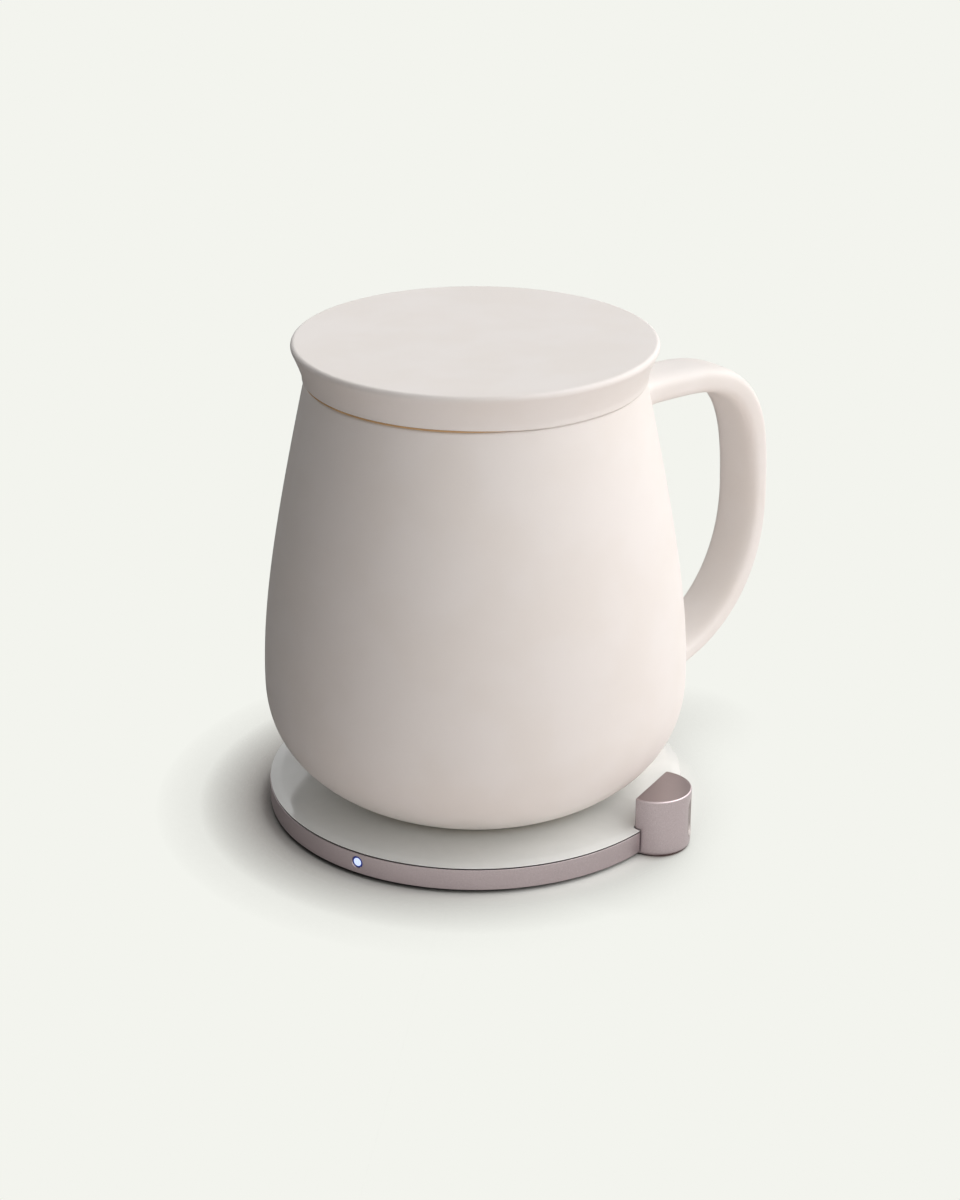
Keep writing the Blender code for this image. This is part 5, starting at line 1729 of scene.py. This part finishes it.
@dataclass(frozen=True)
class Studio:
    """The floor, the backdrop, the lamps and the camera."""

    backdrop: str = "#F3F4EE"
    floor_colour: str = "#ECEDE8"
    bounce_colour: str = "#F2EAE6"
    dark_side: float = 100.0
    dark_level: float = 0.12
    dark_reach: float = 0.12
    shadow_colour: str = "#3C2522"
    # The painted contact shadow: ambient occlusion leaned towards the lamps' side, so that it lies mostly on
    # the far side
    contact_reach: float = 0.027
    contact_turn: float = -35.0
    contact_lean: float = 0.9
    contact_floor: float = 0.2
    # The painted dark line of shadow right at the coaster's foot
    line_reach: float = 0.004
    line_low: float = 0.4
    line_high: float = 0.88
    floor_size: float = 12.0
    hole_radius: float = 0.045
    fade_start: float = 0.0465
    fade_end: float = 0.054
    dark_from: float = -0.2
    dark_to: float = 0.6
    # Where the painted shade on the lit paper near the object runs from black to the floor's colour
    near_range: tuple[float, float] = (0.1, 0.5)
    sky_samples: int = 16
    aim: tuple[float, float, float] = (0.0, 0.0, 0.05)
    camera_place: tuple[float, float, float] = (-0.3265, -0.4272, 0.2816)
    camera_turn: tuple[float, float, float] = (66.63, 0.0, -37.5)
    camera_lens: float = 77.13
    camera_sensor: float = 36.0
    camera_near: float = 0.01
    lamps: tuple[Lamp, ...] = (
        Lamp("front_lamp", -120.0, 12.0, 24.0),
        Lamp("right_lamp", 0.0, 12.0, 10.0),
        Lamp("key_lamp", -60.0, 45.0, 41.0),
        Lamp("high_lamp", 0.0, 45.0, 48.0),
        Lamp("back_lamp", 90.0, 12.0, 29.0),
        Lamp("under_lamp", 0.0, -90.0, 60.0),
    )

    def dimmed(self, tree: Tree, place: Socket, reach: float) -> Socket:
        """How far the dark side of the studio dims a place, as the black card of a photographer would.

        Args:
            tree: the floor's or the world's node tree.
            place: a point on the floor, or a direction.
            reach: how far out on the dark side the dimming is full.

        Returns:
            Zero on the bright side, and 1 - dark level on the dark side.
        """
        turn = math.radians(self.dark_side)
        inputs = {0: place, 1: (math.cos(turn), math.sin(turn), 0.0)}
        along = add_node(tree, "ShaderNodeVectorMath", inputs, operation="DOT_PRODUCT").outputs["Value"]
        return ramp(tree, along, self.dark_from * reach, self.dark_to * reach, 0.0, 1 - self.dark_level)

    def floor(self) -> None:
        """A wide floor that takes shadow near the object and fades into the backdrop further out. Near the
        object the shadow is painted: ambient occlusion darkens the floor's colour, with a painted dark line
        right at the coaster's foot.

        It is clear from below. A hole in it, which the foot pad covers, lets the lamp below light the pad.
        """
        edge = self.floor_size / 2
        points = np.array([(-edge, -edge, 0), (edge, -edge, 0), (edge, edge, 0), (-edge, edge, 0)], float)
        piece = mesh_piece("studio_floor", points, np.array([(0, 1, 2, 3)]))
        made = bpy.data.materials.new("matte_paper_floor")
        made.use_nodes = True
        tree = made.node_tree
        tree.nodes.remove(tree.nodes["Principled BSDF"])
        coords = add_node(tree, "ShaderNodeTexCoord").outputs["Object"]
        distance = add_node(tree, "ShaderNodeVectorMath", {0: coords}, operation="LENGTH").outputs["Value"]
        fade = ramp(tree, distance, self.fade_start, self.fade_end, 0.0, 1.0)
        seen = plainly_seen(tree)
        share = add_node(tree, "ShaderNodeMath", {0: fade, 1: seen}, operation="MULTIPLY").outputs["Value"]
        camera = add_node(tree, "ShaderNodeLightPath").outputs["Is Camera Ray"]
        turn, lean = math.radians(self.contact_turn), self.contact_lean
        towards = unit(np.array([lean * math.cos(turn), lean * math.sin(turn), 1.0]))
        towards = add_node(tree, "ShaderNodeCombineXYZ", {k: float(v) for k, v in enumerate(towards)})
        inputs = {"Distance": self.contact_reach, "Normal": towards.outputs["Vector"]}
        samples = self.sky_samples
        # Painted contact shadow: ambient occlusion darkens the floor's colour
        open_sky = add_node(tree, "ShaderNodeAmbientOcclusion", inputs, samples=samples).outputs["AO"]
        gain = 1 / (1 - self.contact_floor)
        scaled = {0: open_sky, 1: gain, 2: 1 - gain}
        wide = add_node(tree, "ShaderNodeMath", scaled, operation="MULTIPLY_ADD", use_clamp=True)
        inputs["Distance"] = self.line_reach
        # The painted dark line right at the coaster's foot, from a short ambient occlusion
        slit = add_node(tree, "ShaderNodeAmbientOcclusion", inputs, samples=samples).outputs["AO"]
        line = ramp(tree, slit, self.line_low, self.line_high, 0.0, 1.0)
        shares = {0: wide.outputs["Value"], 1: line}
        contact = add_node(tree, "ShaderNodeMath", shares, operation="MULTIPLY").outputs["Value"]
        dim = self.dimmed(tree, coords, self.dark_reach)
        bounce = mixed(tree, dim, linear(self.bounce_colour), BLACK)
        # Painted shade on the lit paper near the object
        near = mixed(tree, ramp(tree, open_sky, *self.near_range, 0.0, 1.0), BLACK, linear(self.floor_colour))
        paper = add_node(tree, "ShaderNodeBsdfDiffuse", {"Color": mixed(tree, seen, bounce, near)})
        # The backdrop darkened towards the shadow colour: painted shadow
        far = mixed(tree, contact, linear(self.shadow_colour), linear(self.backdrop))
        shone = mixed(tree, camera, mixed(tree, dim, far, BLACK), far)
        glow = add_node(tree, "ShaderNodeEmission", {"Color": shone, "Strength": 1.0})
        lit = add_node(tree, "ShaderNodeMixShader", {0: share, 1: paper.outputs[0], 2: glow.outputs[0]})
        under = add_node(tree, "ShaderNodeNewGeometry").outputs["Backfacing"]
        hole = add_node(tree, "ShaderNodeMath", {0: distance, 1: self.hole_radius}, operation="LESS_THAN")
        gone = add_node(tree, "ShaderNodeMath", {0: under, 1: hole.outputs["Value"]}, operation="MAXIMUM")
        clear = add_node(tree, "ShaderNodeBsdfTransparent")
        inputs = {0: gone.outputs["Value"], 1: lit.outputs[0], 2: clear.outputs[0]}
        both = add_node(tree, "ShaderNodeMixShader", inputs)
        tree.links.new(both.outputs[0], tree.nodes["Material Output"].inputs["Surface"])
        piece.data.materials.append(made)

    def world(self) -> None:
        """The backdrop that the camera and gloss see. It gives no light: all of that is the lamps'."""
        made = bpy.data.worlds.new("studio_world")
        bpy.context.scene.world = made
        made.use_nodes = True
        tree = made.node_tree
        light = tree.nodes["Background"]
        light.inputs["Strength"].default_value = 0.0
        seen = plainly_seen(tree)
        camera = add_node(tree, "ShaderNodeLightPath").outputs["Is Camera Ray"]
        way = add_node(tree, "ShaderNodeTexCoord").outputs["Generated"]
        shade = mixed(tree, self.dimmed(tree, way, 1.0), linear(self.backdrop), BLACK)
        colour = mixed(tree, camera, shade, linear(self.backdrop))
        plain = add_node(tree, "ShaderNodeBackground", {"Color": colour, "Strength": 1.0})
        both = add_node(tree, "ShaderNodeMixShader", {0: seen, 1: light.outputs[0], 2: plain.outputs[0]})
        tree.links.new(both.outputs[0], tree.nodes["World Output"].inputs["Surface"])

    def camera(self) -> None:
        """The photograph's camera."""
        data = bpy.data.cameras.new("photo_camera")
        data.lens = self.camera_lens
        data.sensor_width = self.camera_sensor
        data.clip_start = self.camera_near
        camera = bpy.data.objects.new("photo_camera", data)
        bpy.context.scene.collection.objects.link(camera)
        camera.location = self.camera_place
        camera.rotation_euler = [math.radians(a) for a in self.camera_turn]
        bpy.context.scene.camera = camera

    def build(self) -> None:
        """Sets up the whole studio."""
        bpy.context.scene.view_settings.view_transform = "Standard"
        self.floor()
        self.world()
        self.camera()
        for lamp in self.lamps:
            lamp.build(np.array(self.aim))


def main() -> None:
    """Builds the coaster, the pod, the mug, the lid and the studio, in that order."""
    logging.basicConfig(level=logging.INFO, format="%(message)s")
    for part in (Coaster(), Pod(), Mug(), Lid(), Studio()):
        LOG.info("building the %s", type(part).__name__.lower())
        part.build()


if __name__ == "__main__":
    main()
